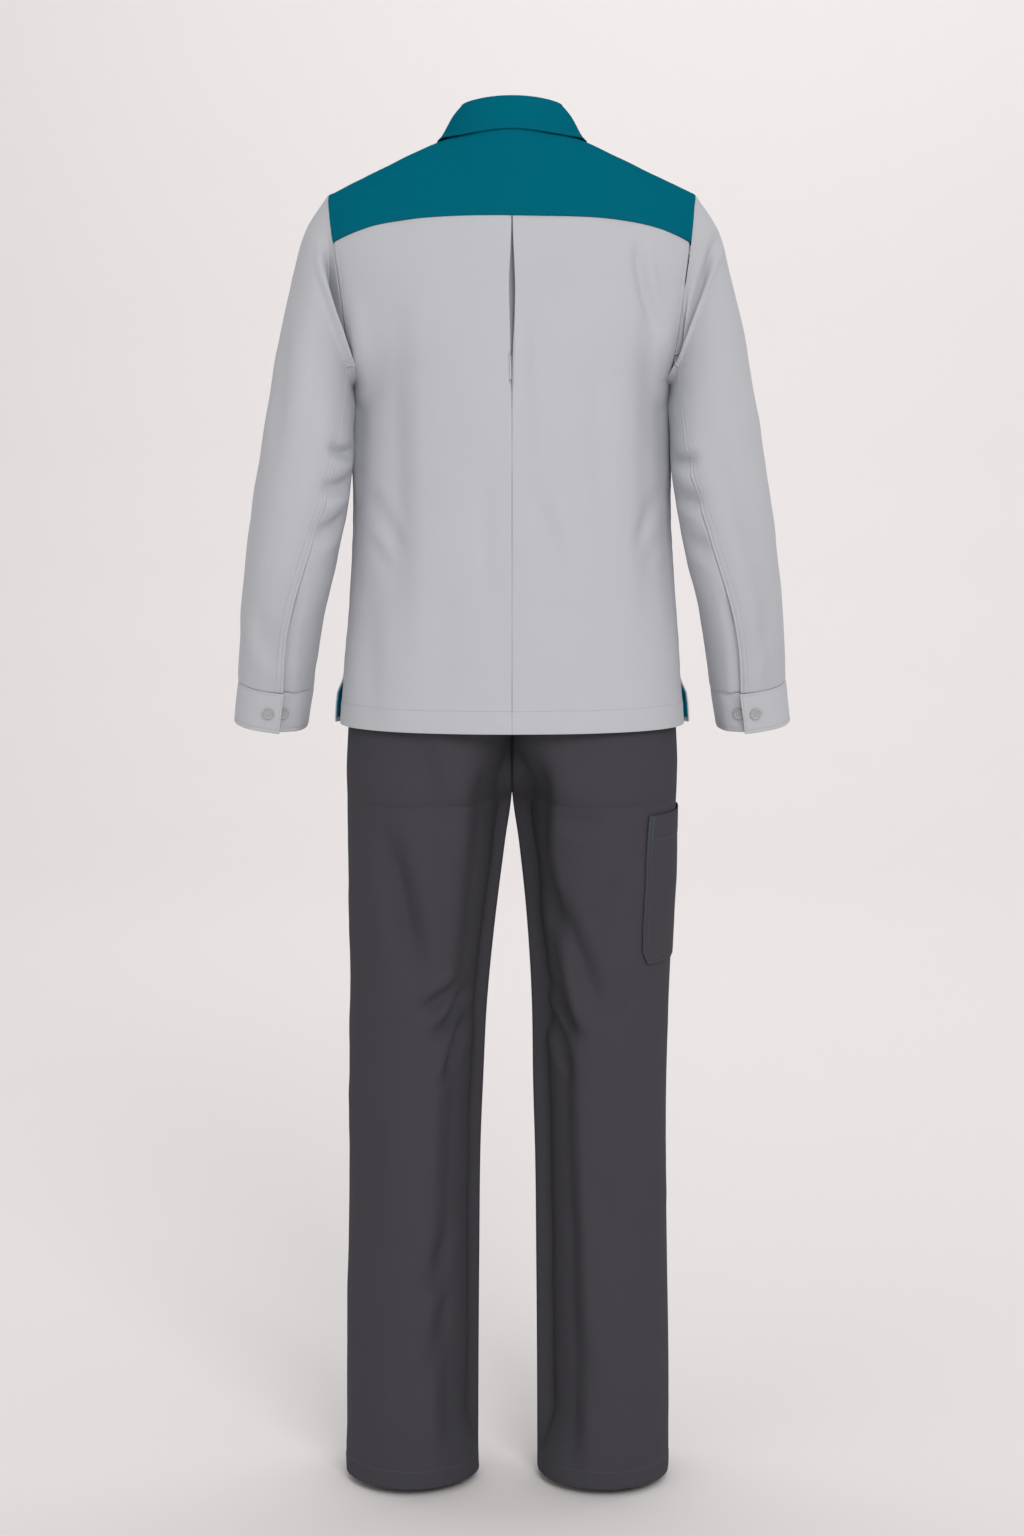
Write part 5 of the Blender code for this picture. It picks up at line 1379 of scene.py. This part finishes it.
def make_button(node, place, facing):
    """A turned button: rounded rim and dished middle, with four small discs set in the dish."""
    bm = bmesh.new()
    profile = ((0.0, 0.00), (0.80, 0.00), (0.95, 0.16), (1.0, 0.45), (0.985, 0.75), (0.93, 0.95), (0.86, 1.0),
               (0.79, 0.94), (0.74, 0.80), (0.66, 0.70), (0.40, 0.66), (0.0, 0.65))
    verts = [bm.verts.new((BUTTON_RADIUS * across, 0, BUTTON_THICK * up)) for across, up in profile]
    edges = [bm.edges.new(pair) for pair in zip(verts, verts[1:])]
    bmesh.ops.spin(bm, geom=verts + edges, cent=(0, 0, 0), axis=(0, 0, 1), dvec=(0, 0, 0), angle=2 * math.pi,
                   steps=40, use_merge=True, use_duplicate=False)
    bmesh.ops.remove_doubles(bm, verts=bm.verts[:], dist=1e-6)
    for turn in range(4):
        angle = math.pi / 4 + turn * math.pi / 2
        at = Vector((math.cos(angle), math.sin(angle), 0)) * BUTTON_RADIUS * 0.24
        bmesh.ops.create_cone(bm, cap_ends=True, segments=12, radius1=0.0006, radius2=0.0006, depth=0.0002,
                              matrix=Matrix.Translation(at + Vector((0, 0, BUTTON_THICK * 0.66))))
    bmesh.ops.recalc_face_normals(bm, faces=bm.faces[:])
    bmesh.ops.transform(bm, verts=bm.verts[:], matrix=Matrix.Translation(place)
                        @ facing.to_track_quat("Z", "Y").to_matrix().to_4x4())
    mesh = bpy.data.meshes.new(node)
    bm.to_mesh(mesh)
    bm.free()
    return add_piece(node + "_turned", mesh, finish("button"), "button", node)


def node_place(node):
    """Where a packed button sits: its middle and the way it faces, from its own points."""
    points = np.array([vertex.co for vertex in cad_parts[node].data.vertices])
    middle = points.mean(axis=0)
    facing = np.linalg.svd(points - middle)[2][2]
    away = middle - np.array((0, 0, middle[2]))
    if abs(middle[0]) > 0.15:
        away = np.array((0, 1, 0))
    if facing.dot(away) < 0:
        facing = -facing
    reach = (points - middle) @ facing
    return Vector(middle + facing * reach.min()), Vector(facing)


def make_buttons():
    """Turns each button at its node."""
    names = [f"front_button_{number}" for number in range(1, len(FRONT_BUTTON_DROPS) + 1)]
    names += [f"cuff_button_{side}_{number}" for side in ("left", "right") for number in (1, 2)]
    for name in names:
        make_button(name, *node_place(name))


# ---------------------------------------------------------------- the stage

FLOOR_GAP = 0.009        # between the hems and the floor
# The floor reaches back from its front's y to where it curves up, with this radius, into the backdrop
SWEEP_FRONT, SWEEP_BACK, SWEEP_RADIUS = 9.0, -4.4, 1.6
SWEEP_HALF_WIDTH, SWEEP_LENGTH = 9, 20.0
CAMERA_PLACE = (0, 3.2, -0.295)
CAMERA_PITCH = 7.47      # degrees down from level
CAMERA_LENS, CAMERA_SENSOR = 65.8, 36.0
FIGURE, FIGURE_HIGH = (0, 0, -0.8), (0, 0, -0.7)     # where the lights on the uniform point


def add_light(name, place, target, size, power, colour):
    """A rectangular light, turned to its target."""
    data = bpy.data.lights.new(name, "AREA")
    data.shape, data.size, data.size_y = "RECTANGLE", size[0], size[1]
    data.energy, data.color = power, colour
    light = bpy.data.objects.new(name, data)
    light.location = place
    light.rotation_euler = (Vector(target) - Vector(place)).to_track_quat("-Z", "Y").to_euler()
    bpy.context.scene.collection.objects.link(light)


def studio_paper(colour):
    """The matt finish of the floor and backdrop."""
    material, _, shader = new_finish("studio_paper", colour, 0.95)
    feed(shader, {"Base Color": (*colour, 1), "Specular IOR Level": 0.1})
    return material


def make_stage(stage):
    """Pale floor that sweeps up behind, soft light from the camera's right, and the camera."""
    floor_z = -TROUSER_DROP - FLOOR_GAP
    bm = bmesh.new()
    bmesh.ops.create_grid(bm, x_segments=24, y_segments=48, size=1.0)
    for vert in bm.verts:
        reach = SWEEP_FRONT - (vert.co.y + 1) / 2 * SWEEP_LENGTH
        turn = min(max((SWEEP_BACK - reach) / SWEEP_RADIUS, 0.0), math.pi / 2)
        rise = max(SWEEP_BACK - reach - SWEEP_RADIUS * math.pi / 2, 0.0)
        vert.co = (vert.co.x * SWEEP_HALF_WIDTH, max(reach, SWEEP_BACK) - SWEEP_RADIUS * math.sin(turn),
                   floor_z + SWEEP_RADIUS * (1 - math.cos(turn)) + rise)
    bmesh.ops.recalc_face_normals(bm, faces=bm.faces[:])
    mesh = bpy.data.meshes.new("studio_sweep")
    bm.to_mesh(mesh)
    bm.free()
    mesh.shade_smooth()
    mesh.materials.append(studio_paper(tuple(stage.paper)))
    sweep = bpy.data.objects.new("studio_sweep", mesh)
    bpy.context.scene.collection.objects.link(sweep)

    world = bpy.data.worlds.new("studio_air")
    world.use_nodes = True
    world.node_tree.nodes["Background"].inputs["Color"].default_value = (1.0, 0.985, 0.98, 1)
    world.node_tree.nodes["Background"].inputs["Strength"].default_value = stage.air
    bpy.context.scene.world = world
    add_light("key", (-1.15, 3.75, 1.6), FIGURE_HIGH, (1.8, 1.8), stage.key, (1.0, 0.99, 0.98))
    add_light("fill", (2.6, 3.0, 0.4), FIGURE, (2.4, 2.4), stage.fill, (0.98, 0.99, 1.0))
    add_light("paper", (-0.7, -3.1, 2.3), (-0.4, -5.8, -0.3), (5.2, 0.8), stage.backdrop, (1.0, 0.99, 0.99))
    add_light("floor", (-0.2, -1.2, 2.4), (-0.2, -1.5, -1.6), (4.0, 1.2), stage.floor, (1.0, 0.99, 0.99))
    for x in (-2.2, 2.2):
        add_light("edge", (x, -1.2, 0.4), FIGURE, (1.2, 2.6), stage.edge, (1, 1, 1))

    data = bpy.data.cameras.new("camera")
    data.lens, data.sensor_width, data.sensor_fit = CAMERA_LENS, CAMERA_SENSOR, "AUTO"
    camera = bpy.data.objects.new("camera", data)
    camera.location = CAMERA_PLACE
    camera.rotation_euler = (math.radians(90 - CAMERA_PITCH), 0, math.radians(180))
    bpy.context.scene.collection.objects.link(camera)
    bpy.context.scene.camera = camera
    bpy.context.scene.view_settings.view_transform = "Standard"


# ---------------------------------------------------------------- the add-on

class UniformCloth(bpy.types.PropertyGroup):
    """Colours and weave of the cloth"""
    grey: FloatVectorProperty(name="Jacket", description="Colour of the jacket's twill", subtype="COLOR",
                              default=(0.512, 0.522, 0.556), min=0, max=1)
    teal: FloatVectorProperty(name="Yoke", description="Colour of the yoke, collar and vent facings",
                              subtype="COLOR", default=(0.0010, 0.128, 0.186), min=0, max=1)
    charcoal: FloatVectorProperty(name="Trousers", description="Colour of the trousers' twill",
                                  subtype="COLOR", default=(0.060, 0.058, 0.067), min=0, max=1)
    button: FloatVectorProperty(name="Buttons", description="Colour of the buttons", subtype="COLOR",
                                default=(0.42, 0.42, 0.43), min=0, max=1)
    rib: FloatProperty(name="Rib spacing", description="Distance between the twill's slanted ribs",
                       unit="LENGTH", default=0.0009, min=0.0003, max=0.003, precision=5)
    mottle: FloatProperty(name="Mottle", description="How uneven the dye is", default=0.10, min=0, max=0.5)


class UniformStitches(bpy.types.PropertyGroup):
    """Sizes of the stitches"""
    pitch: FloatProperty(name="Stitch length", description="Length of one stitch and its gap", unit="LENGTH",
                         default=0.0030, min=0.001, max=0.01, precision=4)
    thread: FloatProperty(name="Thread", description="Thickness of the thread", unit="LENGTH",
                          default=0.0005, min=0.0001, max=0.002, precision=5)


class UniformStage(bpy.types.PropertyGroup):
    """Light and background"""
    key: FloatProperty(name="Main light", description="Power of the light on the camera's right",
                       unit="POWER", default=72.0, min=0)
    fill: FloatProperty(name="Fill light", description="Power of the light on the camera's left",
                        unit="POWER", default=10.0, min=0)
    edge: FloatProperty(name="Edge lights", description="Power of the two lights behind the uniform",
                        unit="POWER", default=5.0, min=0)
    air: FloatProperty(name="Room light", description="Strength of the light from all round",
                       default=0.50, min=0)
    backdrop: FloatProperty(name="Backdrop light", description="Power of the light on the background",
                            unit="POWER", default=55.0, min=0)
    floor: FloatProperty(name="Floor light", description="Power of the light on the floor behind",
                         unit="POWER", default=26.0, min=0)
    paper: FloatVectorProperty(name="Background", description="Colour of the floor and backdrop",
                               subtype="COLOR", default=(0.88, 0.855, 0.85), min=0, max=1)


class UNIFORM_OT_yoke(bpy.types.Operator):
    """Cuts and stitches the yoke over both shoulders"""
    bl_idname = "uniform.yoke"
    bl_label = "Yoke"

    def execute(self, context):
        make_yoke()
        return {"FINISHED"}


class UNIFORM_OT_collar(bpy.types.Operator):
    """Folds the collar down round the neck"""
    bl_idname = "uniform.collar"
    bl_label = "Collar"

    def execute(self, context):
        make_collar()
        return {"FINISHED"}


class UNIFORM_OT_back(bpy.types.Operator):
    """Hangs the back panel with its inverted pleat"""
    bl_idname = "uniform.back"
    bl_label = "Back panel"

    def execute(self, context):
        make_back()
        return {"FINISHED"}


class UNIFORM_OT_fronts(bpy.types.Operator):
    """Hangs both fronts and the facings of their side vents"""
    bl_idname = "uniform.fronts"
    bl_label = "Fronts and vent facings"

    def execute(self, context):
        for hand in (1, -1):
            make_front(hand)
        return {"FINISHED"}


class UNIFORM_OT_sleeves(bpy.types.Operator):
    """Sets in the two-piece sleeves"""
    bl_idname = "uniform.sleeves"
    bl_label = "Sleeves"

    def execute(self, context):
        for hand in (1, -1):
            make_sleeve(hand)
        return {"FINISHED"}


class UNIFORM_OT_cuffs(bpy.types.Operator):
    """Wraps the cuffs round the wrists"""
    bl_idname = "uniform.cuffs"
    bl_label = "Cuffs"

    def execute(self, context):
        for hand in (1, -1):
            make_cuff(hand)
        return {"FINISHED"}


class UNIFORM_OT_trousers(bpy.types.Operator):
    """Hangs the legs from their waistband"""
    bl_idname = "uniform.trousers"
    bl_label = "Trousers"

    def execute(self, context):
        make_waistband()
        for hand in (1, -1):
            for side in (1, -1):
                make_leg(hand, side)
        return {"FINISHED"}


class UNIFORM_OT_pocket(bpy.types.Operator):
    """Sews the patch pocket round the right leg's outer seam"""
    bl_idname = "uniform.pocket"
    bl_label = "Leg pocket"

    def execute(self, context):
        make_pocket()
        return {"FINISHED"}


class UNIFORM_OT_buttons(bpy.types.Operator):
    """Turns the buttons of the front and the cuffs"""
    bl_idname = "uniform.buttons"
    bl_label = "Buttons"

    def execute(self, context):
        make_buttons()
        return {"FINISHED"}


class UNIFORM_OT_stage(bpy.types.Operator):
    """Sets up the floor, the lights and the camera"""
    bl_idname = "uniform.stage"
    bl_label = "Stage"

    def execute(self, context):
        make_stage(context.scene.uniform_stage)
        return {"FINISHED"}


STEPS = (UNIFORM_OT_yoke, UNIFORM_OT_collar, UNIFORM_OT_back, UNIFORM_OT_fronts, UNIFORM_OT_sleeves,
         UNIFORM_OT_cuffs, UNIFORM_OT_trousers, UNIFORM_OT_pocket, UNIFORM_OT_buttons, UNIFORM_OT_stage)


class UNIFORM_PT_panel(bpy.types.Panel):
    """Lists the uniform's sizes, colours and making steps"""
    bl_idname = "UNIFORM_PT_panel"
    bl_label = "Laboratory Uniform"
    bl_space_type = "VIEW_3D"
    bl_region_type = "UI"
    bl_category = "Uniform"

    def draw(self, context):
        scene = context.scene
        for group in (scene.uniform_cloth, scene.uniform_stitches, scene.uniform_stage):
            box = self.layout.box()
            for key in group.bl_rna.properties.keys():
                if key not in ("rna_type", "name"):
                    box.prop(group, key)
        for step in STEPS:
            self.layout.operator(step.bl_idname)


CLASSES = (UniformCloth, UniformStitches, UniformStage) + STEPS + (UNIFORM_PT_panel,)
SETTINGS = {"uniform_cloth": UniformCloth, "uniform_stitches": UniformStitches, "uniform_stage": UniformStage}


def register():
    for item in CLASSES:
        bpy.utils.register_class(item)
    for key, group in SETTINGS.items():
        setattr(bpy.types.Scene, key, PointerProperty(type=group))


def unregister():
    for key in SETTINGS:
        delattr(bpy.types.Scene, key)
    for item in reversed(CLASSES):
        bpy.utils.unregister_class(item)


def main():
    """Makes every piece."""
    register()
    for step in STEPS:
        group, action = step.bl_idname.split(".")
        getattr(getattr(bpy.ops, group), action)()


if __name__ == "__main__":
    main()
